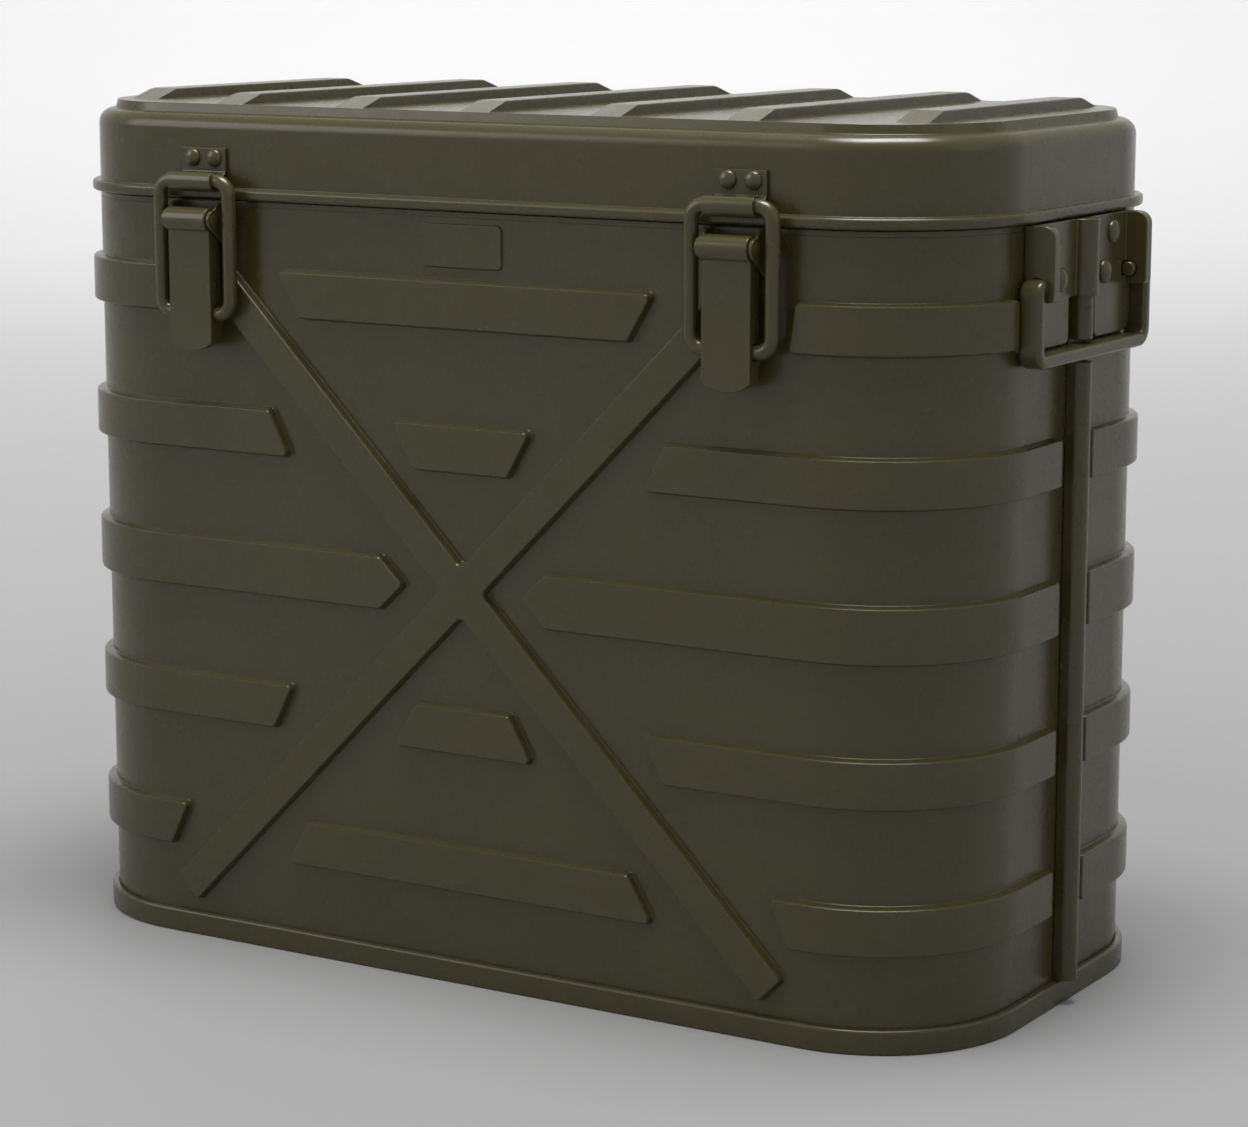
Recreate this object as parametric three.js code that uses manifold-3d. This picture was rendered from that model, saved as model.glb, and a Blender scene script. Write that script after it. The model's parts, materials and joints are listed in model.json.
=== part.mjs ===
// Insulated carrying container with a lift-off lid, four toggle latches and two swinging
// end handles, built as separate bodies. Millimetres, +Z up, origin at the bottom centre,
// +X along the length, front at -Y.
import * as THREE from 'three';
import { mergeVertices } from 'three/addons/utils/BufferGeometryUtils.js';
import Module from 'manifold-3d';

const wasm = await Module();
wasm.setup();

// ---- driving dimensions ----
const HALF_LENGTH = 290; // outer wall face to centre, along X
const HALF_DEPTH = 141; // outer wall face to centre, along Y
const CORNER_RADIUS = 80;
const CORNER_STEPS = 6;
const SHEET = 1.8; // metal thickness
const GAP = 0.3; // clearance between touching pieces
const WALL = 34; // outer face to the liner's outer face
const RING_HEIGHT = 13.3;
const RING_PROUD = 4;
const SHELL_BOTTOM = 2.8;
const SHELL_TOP = 421.7;
const CAVITY_FLOOR = 39.8;
const RIM_TOP = 424.9;

const ROW_PITCH = 77.5; // embossed rows, centre to centre
const ROW_MIDDLE = 220.3; // height of the third row
const ROW_HEIGHT = 27;
const MIDDLE_ROW_HEIGHT = 31;
const EMBOSS = 5.1; // how proud the rows and the cross stand
const EMBED = SHEET / 2; // how deep an embossed solid reaches into the sheet
const CROSS_WIDTH = 21;
const CROSS_UPPER_REACH = 160; // cross arm ends, as distance from the middle along X
const CROSS_LOWER_REACH = 193;
const STRIP_HALF_WIDTH = 6.6;
const STRIP_PROUD = 10.9;
const STRIP_WEB = 0.7; // thickness left where the bail lies over the strip
const STRIP_RELIEF = 6; // half height of that flat
const ROW_END_GAP = 18; // end of a row to the middle of the end face
const TOP_ROW_WRAP = 115.2; // length of the top row past the flat front, beside the bail
const SLANTED_ROWS = [[1, 203.5, 199.5], [2, 127, 113], [4, 113, 127], [5, 189.5, 202.5]];
const CENTRED_ROWS = [[1, 122, 106], [2, 46.5, 31], [4, 31, 46.5], [5, 106, 122]];
const MIDDLE_ROW_TIP = 37; // arrow-shaped starts of the third row
const MIDDLE_ROW_SHOULDER = 54;
const PAD_HALF_WIDTH = 26; // blank raised pad above the cross
const PAD_BOTTOM = 395;
const PAD_TOP = 418.5;
const PAD_PROUD = 1.5;

const BEAD_BOTTOM = 425.4;
const BEAD_TOP = 431.5;
const BEAD_PROUD = 4.6;
const LID_EDGE_RADIUS = 8.5;
const LID_LEDGE = 472;
const PLATEAU_TOP = 477;
const PLATEAU_INSET = 11;
const RIB_TOP = 482.5;
const RIB_WIDTH = 19;
const RIB_PITCH = 82;
const RIB_RAMP = 18;
const RIB_HALF_SPAN = 129.5;
const END_RIB_HALF_SPAN = 102;
const PLUG_BOTTOM = 405;

const LATCH_X = 171.2; // latch centre line to the middle of the container
const WIRE_RADIUS = 4;
const LOOP_U = 10.85; // distance of the loop's plane from the wall
const LOOP_TOP = 435.9;
const LOOP_BOTTOM = 362.7;
const LOOP_HALF_WIDTH = 23.75; // to the wire's centre line
const LOOP_CORNER = 7.5;
const PIVOT_U = 14.7;
const PIVOT_Z = 414.9;
const ROLL_RADIUS = 6.8;
const PIN_RADIUS = 2.6;
const LEVER_HALF_WIDTH = 14.25;
const LEVER_FACE_U = 16.9;
const LEVER_BOTTOM = 342;
const LEVER_ROUND = 23; // radius of the lever's lower end
const FLANGE_U = 7.3; // back edge of the lever's flanges
const LOBE_U = 5.6; // back edge beside the loop's lower bar
const KEEPER_HALF_WIDTH = 15;
const KEEPER_TOP = 453.5;
const KEEPER_SHEET = 1.7;
const BRACKET_SHEET = 2;

const HANDLE_PIVOT_U = 7.75;
const HANDLE_PIVOT_Z = 394;
const HANDLE_PIN_RADIUS = 4;
const HANDLE_PLATE = 4.9;
const HANDLE_PLATE_HALF = 61.8;
const HANDLE_PLATE_BOTTOM = 360.6;
const HANDLE_SLOT_HALF = 16.2;
const HANDLE_BRIDGE_BOTTOM = 384.4;
const HANDLE_TOP = 424.7;
const BRIDGE_OUTER = 8.6; // half-pipe over the seam strip
const BRIDGE_INNER = 7;
const HANDLE_RIVET_SPOTS = [[-38, 414.7], [38, 414.7], [-28, 394.6], [28, 394.6]];
const EAR_THICKNESS = 7;
const EAR_BOTTOM = 386;
const EAR_REACH = 17.4;
const BAIL_HALF_WIDTH = 67; // to the bar's centre line
const BAIL_BOTTOM = 355.6;
const BAIL_THICKNESS = 7.4;
const BAIL_WIDTH = 12.8;
const BAIL_CORNER = 6.6;
const BAIL_CHAMFER = 2;
const BAIL_ARM_TOP = 3.7; // arm end above the pivot
const HANDLE_PIN_STUB = 2.8; // pin end inside the ear

// ---- materials ----
const paint = (color) => new THREE.MeshStandardMaterial({ color, roughness: 0.5, metalness: 0.15 });
const olivePaint = () => paint(0x55523f);
const bareMetal = () => new THREE.MeshStandardMaterial({ color: 0xb4b6b5, roughness: 0.4, metalness: 0.9 });
const foam = () => new THREE.MeshStandardMaterial({ color: 0xd8cfa8, roughness: 0.95, metalness: 0 });
const rubber = () => new THREE.MeshStandardMaterial({ color: 0x1d1d1c, roughness: 0.85, metalness: 0 });

// ---- solids ----
function signedVolume(geometry) {
  const p = geometry.attributes.position;
  const index = geometry.index;
  const [a, b, c] = [new THREE.Vector3(), new THREE.Vector3(), new THREE.Vector3()];
  let sum = 0;
  for (let i = 0; i < index.count; i += 3) {
    a.fromBufferAttribute(p, index.getX(i));
    b.fromBufferAttribute(p, index.getX(i + 1));
    c.fromBufferAttribute(p, index.getX(i + 2));
    sum += a.dot(b.cross(c)) / 6;
  }
  return sum;
}

// Merges shared vertices and turns every face outwards.
function closeBody(geometry) {
  geometry.deleteAttribute('normal');
  geometry.deleteAttribute('uv');
  const merged = mergeVertices(geometry, 1e-4);
  if (signedVolume(merged) < 0) {
    const index = merged.index.array;
    for (let i = 0; i < index.length; i += 3) {
      const first = index[i];
      index[i] = index[i + 1];
      index[i + 1] = first;
    }
  }
  return merged;
}

function toManifold(geometry) {
  const body = closeBody(geometry.clone());
  const vertProperties = new Float32Array(body.attributes.position.array);
  const triVerts = new Uint32Array(body.index.array);
  return new wasm.Manifold(new wasm.Mesh({ numProp: 3, vertProperties, triVerts }));
}

function toGeometry(manifold) {
  const mesh = manifold.getMesh();
  const geometry = new THREE.BufferGeometry();
  geometry.setAttribute('position', new THREE.BufferAttribute(new Float32Array(mesh.vertProperties), 3));
  geometry.setIndex(Array.from(mesh.triVerts));
  return geometry;
}

function combine(added, removed = []) {
  let body = toManifold(added[0]);
  for (const geometry of added.slice(1)) body = body.add(toManifold(geometry));
  for (const geometry of removed) body = body.subtract(toManifold(geometry));
  return toGeometry(body);
}

function fromTriangles(vertices, triangles) {
  const geometry = new THREE.BufferGeometry();
  geometry.setAttribute('position', new THREE.Float32BufferAttribute(vertices.flat(), 3));
  geometry.setIndex(triangles.flat());
  return closeBody(geometry);
}

// Rounded rectangle, counter-clockwise from above, moved out from the wall face by offset.
function outline(offset, z) {
  const points = [];
  const radius = CORNER_RADIUS + offset;
  const centres = [[1, -1, -0.5], [1, 1, 0], [-1, 1, 0.5], [-1, -1, 1]];
  for (const [signX, signY, start] of centres) {
    for (let k = 0; k <= CORNER_STEPS; k += 1) {
      const angle = Math.PI * (start + 0.5 * k / CORNER_STEPS);
      const x = signX * (HALF_LENGTH - CORNER_RADIUS) + radius * Math.cos(angle);
      const y = signY * (HALF_DEPTH - CORNER_RADIUS) + radius * Math.sin(angle);
      points.push([x, y, z]);
    }
  }
  return points;
}

// Carries a profile of [offset, z] pairs round the container. A ring's profile closes on
// itself; any other profile is capped across the container at its first and last points.
function sweepRound(profile, ring = false) {
  const loops = profile.map(([offset, z]) => outline(offset, z));
  const count = loops[0].length;
  const vertices = loops.flat();
  const triangles = [];
  const spans = ring ? loops.length : loops.length - 1;
  for (let i = 0; i < spans; i += 1) {
    const low = i * count;
    const high = ((i + 1) % loops.length) * count;
    for (let j = 0; j < count; j += 1) {
      const next = (j + 1) % count;
      triangles.push([low + j, low + next, high + next], [low + j, high + next, high + j]);
    }
  }
  if (!ring) {
    const last = (loops.length - 1) * count;
    const middles = vertices.length;
    vertices.push([0, 0, profile[0][1]], [0, 0, profile[profile.length - 1][1]]);
    for (let j = 0; j < count; j += 1) {
      const next = (j + 1) % count;
      triangles.push([middles, next, j], [middles + 1, last + j, last + next]);
    }
  }
  return fromTriangles(vertices, triangles);
}

function extrude(shape, depth, curveSegments = 8) {
  return new THREE.ExtrudeGeometry(shape, { depth, bevelEnabled: false, curveSegments });
}

const polygon = (points) => new THREE.Shape(points.map(([x, y]) => new THREE.Vector2(x, y)));

// Outline in (x, z) on the front wall, standing out from height from to height to.
function standOut(shape, from, to, segments) {
  const move = new THREE.Matrix4().set(1, 0, 0, 0, 0, 0, -1, -HALF_DEPTH - from, 0, 1, 0, 0, 0, 0, 0, 1);
  return extrude(shape, to - from, segments).applyMatrix4(move);
}

// Outline in (u, z), u out from the front wall, carried along X.
function alongX(shape, from, to, segments) {
  const move = new THREE.Matrix4().set(0, 0, -1, to, -1, 0, 0, -HALF_DEPTH, 0, 1, 0, 0, 0, 0, 0, 1);
  return extrude(shape, to - from, segments).applyMatrix4(move);
}

// Outline in (y, z) on the right end face, standing out.
function standOutEnd(shape, from, to, segments) {
  const move = new THREE.Matrix4().set(0, 0, 1, HALF_LENGTH + from, 1, 0, 0, 0, 0, 1, 0, 0, 0, 0, 0, 1);
  return extrude(shape, to - from, segments).applyMatrix4(move);
}

// Outline in (u, z), u out from the right end face, carried along Y.
function alongY(shape, from, to, segments) {
  const move = new THREE.Matrix4().set(1, 0, 0, HALF_LENGTH, 0, 0, -1, to, 0, 1, 0, 0, 0, 0, 0, 1);
  return extrude(shape, to - from, segments).applyMatrix4(move);
}

// Outline in (y, u) on the right end face, carried upwards.
function alongZ(shape, from, to, segments) {
  const move = new THREE.Matrix4().set(0, 1, 0, HALF_LENGTH, 1, 0, 0, 0, 0, 0, -1, to, 0, 0, 0, 1);
  return extrude(shape, to - from, segments).applyMatrix4(move);
}

function rodAlongX(radius, from, to, u, z, sides = 12) {
  const rod = new THREE.CylinderGeometry(radius, radius, to - from, sides);
  return rod.rotateZ(Math.PI / 2).translate((from + to) / 2, -HALF_DEPTH - u, z);
}

function rodAlongY(radius, from, to, u, z, sides = 12) {
  const rod = new THREE.CylinderGeometry(radius, radius, to - from, sides);
  return rod.translate(HALF_LENGTH + u, (from + to) / 2, z);
}

// Strip of sheet whose middle line is the given list of points.
function ribbon(points, thickness) {
  const half = thickness / 2;
  const sides = [[], []];
  points.forEach((point, i) => {
    const before = points[Math.max(i - 1, 0)];
    const after = points[Math.min(i + 1, points.length - 1)];
    const length = Math.hypot(after[0] - before[0], after[1] - before[1]);
    const normal = [-(after[1] - before[1]) / length, (after[0] - before[0]) / length];
    sides[0].push([point[0] + half * normal[0], point[1] + half * normal[1]]);
    sides[1].push([point[0] - half * normal[0], point[1] - half * normal[1]]);
  });
  return polygon([...sides[0], ...sides[1].reverse()]);
}

function arc(centre, radius, fromDegrees, toDegrees, steps) {
  const points = [];
  for (let k = 0; k <= steps; k += 1) {
    const angle = THREE.MathUtils.degToRad(fromDegrees + (toDegrees - fromDegrees) * k / steps);
    points.push([centre[0] + radius * Math.cos(angle), centre[1] + radius * Math.sin(angle)]);
  }
  return points;
}

// Bar of a given section [a, b] along a flat path of [side, z] points; place() puts a point
// given as (side, out, z) into the container's frame.
function barAlong(path, section, place) {
  const vertices = [];
  const triangles = [];
  path.forEach((point, i) => {
    const before = path[Math.max(i - 1, 0)];
    const after = path[Math.min(i + 1, path.length - 1)];
    const length = Math.hypot(after[0] - before[0], after[1] - before[1]);
    const normal = [-(after[1] - before[1]) / length, (after[0] - before[0]) / length];
    for (const [a, b] of section) {
      vertices.push(place(point[0] + a * normal[0], b, point[1] + a * normal[1]));
    }
  });
  const count = section.length;
  for (let i = 0; i < path.length - 1; i += 1) {
    for (let j = 0; j < count; j += 1) {
      const next = (j + 1) % count;
      const low = i * count;
      const high = low + count;
      triangles.push([low + j, low + next, high + next], [low + j, high + next, high + j]);
    }
  }
  const last = (path.length - 1) * count;
  for (let j = 1; j < count - 1; j += 1) {
    triangles.push([0, j + 1, j], [last, last + j, last + j + 1]);
  }
  return fromTriangles(vertices, triangles);
}

function circle(radius, sides) {
  return arc([0, 0], radius, 0, 360, sides).slice(0, sides);
}

// ---- placing ----
const container = new THREE.Group();
const front = new THREE.Group();
const back = new THREE.Group();
back.rotation.z = Math.PI;
const rightEnd = new THREE.Group();
const leftEnd = new THREE.Group();
leftEnd.rotation.z = Math.PI;
container.add(front, back, rightEnd, leftEnd);

function addPiece(name, geometry, material, parent = container) {
  const mesh = new THREE.Mesh(closeBody(geometry), material);
  mesh.name = name;
  parent.add(mesh);
  return mesh;
}

// ---- embossed pattern ----
// Point at distance s along the wall from the middle of the front, moved out by offset.
function onWall(s, offset, z) {
  const straight = HALF_LENGTH - CORNER_RADIUS;
  const quarter = CORNER_RADIUS * Math.PI / 2;
  if (s <= straight) return [s, -HALF_DEPTH - offset, z];
  if (s >= straight + quarter) {
    return [HALF_LENGTH + offset, -(HALF_DEPTH - CORNER_RADIUS) + (s - straight - quarter), z];
  }
  const angle = (s - straight) / CORNER_RADIUS;
  const radius = CORNER_RADIUS + offset;
  const x = straight + radius * Math.sin(angle);
  const y = -(HALF_DEPTH - CORNER_RADIUS) - radius * Math.cos(angle);
  return [x, y, z];
}

// A row that starts on the front with a slanted end and wraps round the right corner.
function wrappedRow(z, height, startTop, startBottom, end) {
  const straight = HALF_LENGTH - CORNER_RADIUS;
  const quarter = CORNER_RADIUS * Math.PI / 2;
  const stops = [];
  for (let k = 0; k <= CORNER_STEPS; k += 1) {
    const s = straight + quarter * k / CORNER_STEPS;
    if (s < end - 1) stops.push([s, s]);
  }
  const columns = [[startTop, startBottom], ...stops, [end, end]];
  const vertices = [];
  const triangles = [];
  for (const [top, bottom] of columns) {
    vertices.push(onWall(top, -EMBED, z + height / 2), onWall(top, EMBOSS, z + height / 2));
    vertices.push(onWall(bottom, EMBOSS, z - height / 2), onWall(bottom, -EMBED, z - height / 2));
  }
  for (let i = 0; i < columns.length - 1; i += 1) {
    for (let j = 0; j < 4; j += 1) {
      const next = (j + 1) % 4;
      const low = i * 4;
      triangles.push([low + j, low + next, low + 4 + next], [low + j, low + 4 + next, low + 4 + j]);
    }
  }
  const last = (columns.length - 1) * 4;
  triangles.push([0, 2, 1], [0, 3, 2], [last, last + 1, last + 2], [last, last + 2, last + 3]);
  return fromTriangles(vertices, triangles);
}

const rowHeight = (row) => ROW_MIDDLE + (3 - row) * ROW_PITCH;

// Every raised shape on the front wall and the two corners beside it.
function frontEmbossing() {
  const endOfRow = HALF_LENGTH - CORNER_RADIUS + CORNER_RADIUS * Math.PI / 2
    + (HALF_DEPTH - CORNER_RADIUS) - ROW_END_GAP;
  const topRowEnd = HALF_LENGTH - CORNER_RADIUS + TOP_ROW_WRAP;
  const right = SLANTED_ROWS.map(([row, top, bottom]) => {
    return wrappedRow(rowHeight(row), ROW_HEIGHT, top, bottom, row === 1 ? topRowEnd : endOfRow);
  });
  const start = MIDDLE_ROW_SHOULDER - 1;
  right.push(wrappedRow(rowHeight(3), MIDDLE_ROW_HEIGHT, start, start, endOfRow));
  const left = right.map((row) => row.clone().scale(-1, 1, 1));
  const flat = [];
  for (const [row, top, bottom] of CENTRED_ROWS) {
    const high = rowHeight(row) + ROW_HEIGHT / 2;
    const low = rowHeight(row) - ROW_HEIGHT / 2;
    flat.push(polygon([[-bottom, low], [bottom, low], [top, high], [-top, high]]));
  }
  const halfMiddle = MIDDLE_ROW_HEIGHT / 2;
  for (const side of [-1, 1]) {
    const shoulder = side * MIDDLE_ROW_SHOULDER;
    const tip = [side * MIDDLE_ROW_TIP, ROW_MIDDLE];
    flat.push(polygon([tip, [shoulder, ROW_MIDDLE + halfMiddle], [shoulder, ROW_MIDDLE - halfMiddle]]));
  }
  const halfBar = CROSS_WIDTH / 2 * Math.SQRT1_2;
  for (const side of [-1, 1]) {
    const upper = [side * CROSS_UPPER_REACH, ROW_MIDDLE + CROSS_UPPER_REACH];
    const lower = [-side * CROSS_LOWER_REACH, ROW_MIDDLE - CROSS_LOWER_REACH];
    flat.push(polygon([
      [upper[0] + side * halfBar, upper[1] - halfBar],
      [upper[0] - side * halfBar, upper[1] + halfBar],
      [lower[0] - side * halfBar, lower[1] + halfBar],
      [lower[0] + side * halfBar, lower[1] - halfBar],
    ]));
  }
  const shapes = flat.map((shape) => standOut(shape, -EMBED, EMBOSS));
  return [...right, ...left, ...shapes];
}

function padGeometry() {
  return standOut(polygon([
    [-PAD_HALF_WIDTH, PAD_BOTTOM], [PAD_HALF_WIDTH, PAD_BOTTOM],
    [PAD_HALF_WIDTH, PAD_TOP], [-PAD_HALF_WIDTH, PAD_TOP],
  ]), -EMBED, PAD_PROUD);
}

// ---- insulated can ----
function addCan() {
  const inner = -SHEET;
  const shell = sweepRound([
    [0, SHELL_BOTTOM], [0, SHELL_TOP], [inner, SHELL_TOP], [inner, SHELL_BOTTOM + SHEET],
  ]);
  const shapes = frontEmbossing();
  const rear = shapes.map((shape) => shape.clone().rotateZ(Math.PI));
  addPiece('outer_shell', combine([shell, ...shapes, padGeometry(), ...rear]), olivePaint());

  addPiece('base_ring', sweepRound([
    [-8, 0], [RING_PROUD - 0.8, 0], [RING_PROUD, 1], [RING_PROUD, RING_HEIGHT - 2],
    [RING_PROUD - 1.6, RING_HEIGHT], [GAP, RING_HEIGHT], [GAP, 2.4], [-8, 2.4],
  ], true), olivePaint());

  const linerOuter = -WALL;
  const linerInner = -WALL - SHEET;
  addPiece('inner_liner', sweepRound([
    [linerOuter, CAVITY_FLOOR - SHEET], [linerOuter, SHELL_TOP],
    [linerInner, SHELL_TOP], [linerInner, CAVITY_FLOOR],
  ]), bareMetal());

  addPiece('insulation', sweepRound([
    [-SHEET - GAP, SHELL_BOTTOM + SHEET + GAP], [-SHEET - GAP, SHELL_TOP - GAP],
    [linerOuter + GAP, SHELL_TOP - GAP], [linerOuter + GAP, CAVITY_FLOOR - SHEET - GAP],
  ]), foam());

  addPiece('rim_channel', sweepRound([
    [-1, SHELL_TOP + GAP], [-0.2, RIM_TOP - 1], [-1.2, RIM_TOP],
    [linerInner + 1, RIM_TOP], [linerInner, RIM_TOP - 1], [linerInner, SHELL_TOP + GAP],
  ], true), olivePaint());
}

// ---- lid ----
function addLid() {
  const outerEdge = arc([-LID_EDGE_RADIUS, LID_LEDGE - LID_EDGE_RADIUS], LID_EDGE_RADIUS, 0, 90, 4);
  const innerEdge = arc([-LID_EDGE_RADIUS, LID_LEDGE - LID_EDGE_RADIUS], LID_EDGE_RADIUS - SHEET, 90, 0, 4);
  const skin = sweepRound([
    [-PLATEAU_INSET - SHEET, PLATEAU_TOP - SHEET], [-PLATEAU_INSET, LID_LEDGE - SHEET],
    ...innerEdge, [-SHEET, BEAD_BOTTOM],
    [BEAD_PROUD - 1.5, BEAD_BOTTOM], [BEAD_PROUD, BEAD_BOTTOM + 1.8], [BEAD_PROUD, BEAD_TOP - 1.8],
    [BEAD_PROUD - 1.5, BEAD_TOP], [0, BEAD_TOP],
    ...outerEdge, [-PLATEAU_INSET + 1.5, LID_LEDGE], [-PLATEAU_INSET, PLATEAU_TOP],
  ]);
  const ribs = [];
  for (let i = -3; i <= 3; i += 1) {
    const span = Math.abs(i) === 3 ? END_RIB_HALF_SPAN : RIB_HALF_SPAN;
    const side = polygon([
      [-span, PLATEAU_TOP], [-span + RIB_RAMP, RIB_TOP], [span - RIB_RAMP, RIB_TOP],
      [span, PLATEAU_TOP], [span - 2, PLATEAU_TOP - 1], [-span + 2, PLATEAU_TOP - 1],
    ]);
    const move = new THREE.Matrix4().set(
      0, 0, 1, i * RIB_PITCH - RIB_WIDTH / 2, 1, 0, 0, 0, 0, 1, 0, 0, 0, 0, 0, 1);
    ribs.push(extrude(side, RIB_WIDTH).applyMatrix4(move));
  }
  addPiece('lid_shell', combine([skin, ...ribs]), olivePaint());

  const plugOffset = -WALL - SHEET - 1.7;
  const flangeBottom = 429.8;
  addPiece('lid_liner', sweepRound([
    [plugOffset - SHEET, flangeBottom + SHEET], [-SHEET - GAP, flangeBottom + SHEET],
    [-SHEET - GAP, flangeBottom], [plugOffset, flangeBottom], [plugOffset, PLUG_BOTTOM],
  ].reverse().concat([[plugOffset - SHEET, PLUG_BOTTOM + SHEET]])), bareMetal());

  addPiece('plug_insulation', sweepRound([
    [plugOffset - SHEET - GAP, PLUG_BOTTOM + SHEET + GAP],
    [plugOffset - SHEET - GAP, flangeBottom + SHEET],
  ]), foam());

  addPiece('lid_insulation', sweepRound([
    [-SHEET - GAP, flangeBottom + SHEET + GAP], [-SHEET - GAP, LID_LEDGE - LID_EDGE_RADIUS - 1],
    [-LID_EDGE_RADIUS, LID_LEDGE - SHEET - GAP],
  ]), foam());

  addPiece('lid_gasket', sweepRound([
    [-26, RIM_TOP + GAP], [-5, RIM_TOP + GAP], [-3, RIM_TOP + 1.6], [-3, flangeBottom - GAP],
    [-28, flangeBottom - GAP], [-28, RIM_TOP + 1.6],
  ], true), rubber());
}

// ---- fasteners ----
const RIVET_STEPS = 10;

// Domed rivet with its shank, standing on a wall: head foot at height 0, shank below it.
function rivet(headRadius, headHeight, shankRadius, shankLength) {
  const profile = [[0, -shankLength], [shankRadius, -shankLength], [shankRadius, 0], [headRadius, 0],
    [headRadius * 0.86, headHeight * 0.62], [headRadius * 0.5, headHeight * 0.93], [0, headHeight]];
  return new THREE.LatheGeometry(profile.map(([r, h]) => new THREE.Vector2(r, h)), RIVET_STEPS);
}

function rivetOnFront(x, u, z, size) {
  return rivet(...size).rotateX(Math.PI).translate(x, -HALF_DEPTH - u, z);
}

function rivetOnEnd(y, u, z, size) {
  return rivet(...size).rotateZ(-Math.PI / 2).translate(HALF_LENGTH + u, y, z);
}

function holeInFront(x, z, radius) {
  const cut = new THREE.CylinderGeometry(radius, radius, 20, RIVET_STEPS);
  return cut.translate(x, -HALF_DEPTH, z);
}

function holeInEnd(y, z, radius) {
  const cut = new THREE.CylinderGeometry(radius, radius, 20, RIVET_STEPS);
  return cut.rotateZ(Math.PI / 2).translate(HALF_LENGTH, y, z);
}

// ---- toggle latches ----
const KEEPER_RIVET = [5, 3, 2, KEEPER_SHEET - 0.1];
const BRACKET_RIVET = [4, 2.4, 2, BRACKET_SHEET - 0.1];
const KEEPER_RIVETS = [[-7.4, 448], [7.4, 448]];
const BRACKET_RIVETS = [[-6.5, 399], [6.5, 399]];
const HOLE_CLEARANCE = 0.45;

function keeperGeometry() {
  const back = GAP + KEEPER_SHEET / 2;
  const hookRadius = WIRE_RADIUS + 0.25 + KEEPER_SHEET / 2;
  const hook = ribbon([
    [back, 444.5], [back, 441.6], [LOOP_U - hookRadius, 437.6],
    ...arc([LOOP_U, LOOP_TOP], hookRadius, 180, 360, 8), [LOOP_U + hookRadius, 441.6],
  ], KEEPER_SHEET);
  const plate = polygon([
    [-KEEPER_HALF_WIDTH, 443], [KEEPER_HALF_WIDTH, 443],
    [KEEPER_HALF_WIDTH, KEEPER_TOP], [-KEEPER_HALF_WIDTH, KEEPER_TOP],
  ]);
  const holes = KEEPER_RIVETS.map(([x, z]) => holeInFront(x, z, KEEPER_RIVET[2] + HOLE_CLEARANCE));
  const solids = [
    standOut(plate, GAP, GAP + KEEPER_SHEET),
    alongX(hook, -KEEPER_HALF_WIDTH, KEEPER_HALF_WIDTH),
  ];
  return combine(solids, holes);
}

function latchBracketGeometry() {
  const half = LEVER_HALF_WIDTH + 0.35 + BRACKET_SHEET;
  const plate = polygon([
    [-half + 6, 391], [half - 6, 391], [half, 397], [half, 424.3], [-half, 424.3], [-half, 397],
  ]);
  const ear = polygon([
    [GAP, 397], [GAP, 424.3], [10, 424.3], ...arc([PIVOT_U, PIVOT_Z], 6.9, 95, -60, 6),
  ]);
  const ears = [-1, 1].map((side) => {
    const centre = side * (half - BRACKET_SHEET / 2);
    return alongX(ear, centre - BRACKET_SHEET / 2, centre + BRACKET_SHEET / 2);
  });
  const holes = BRACKET_RIVETS.map(([x, z]) => holeInFront(x, z, BRACKET_RIVET[2] + HOLE_CLEARANCE));
  const bore = rodAlongX(PIN_RADIUS + 0.4, -half - 1, half + 1, PIVOT_U, PIVOT_Z);
  return combine([standOut(plate, GAP, GAP + BRACKET_SHEET), ...ears], [...holes, bore]);
}

function leverGeometry() {
  const backFace = LEVER_FACE_U - SHEET;
  const half = LEVER_HALF_WIDTH;
  const sweep = THREE.MathUtils.radToDeg(Math.asin(half / LEVER_ROUND));
  const lowerEnd = arc([0, LEVER_BOTTOM + LEVER_ROUND], LEVER_ROUND, -90 - sweep, -90 + sweep, 6);
  const face = polygon([
    [-half, PIVOT_Z], ...lowerEnd, [half, PIVOT_Z],
  ]);
  const faceBack = LEVER_FACE_U - 0.4;
  const flange = polygon([
    [faceBack, LOOP_BOTTOM - 16.5], [faceBack, PIVOT_Z - 4], [10, PIVOT_Z - 6],
    [FLANGE_U, LOOP_BOTTOM + 39.5], [FLANGE_U, LOOP_BOTTOM + 8.5],
    [LOBE_U, LOOP_BOTTOM + 6], [LOBE_U, LOOP_BOTTOM - 6],
    [FLANGE_U, LOOP_BOTTOM - 8.5], [FLANGE_U, LOOP_BOTTOM - 11.5], [10, LOOP_BOTTOM - 16.5],
  ]);
  const flanges = [
    alongX(flange, -half, -half + SHEET),
    alongX(flange, half - SHEET, half),
  ];
  const roll = rodAlongX(ROLL_RADIUS, -half, half, PIVOT_U, PIVOT_Z, 14);
  const bore = rodAlongX(PIN_RADIUS + 0.4, -half - 1, half + 1, PIVOT_U, PIVOT_Z);
  const wireHole = rodAlongX(WIRE_RADIUS + 0.5, -half - 1, half + 1, LOOP_U, LOOP_BOTTOM, 14);
  const faceCut = standOut(polygon([
    [-half - 1, LOOP_BOTTOM - 6], [half + 1, LOOP_BOTTOM - 6],
    [half + 1, LOOP_BOTTOM + 6], [-half - 1, LOOP_BOTTOM + 6],
  ]), backFace - 0.1, LEVER_FACE_U + 1);
  const hole = toGeometry(toManifold(wireHole).subtract(toManifold(faceCut)));
  return combine([standOut(face, backFace, LEVER_FACE_U), ...flanges, roll], [bore, hole]);
}

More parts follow.
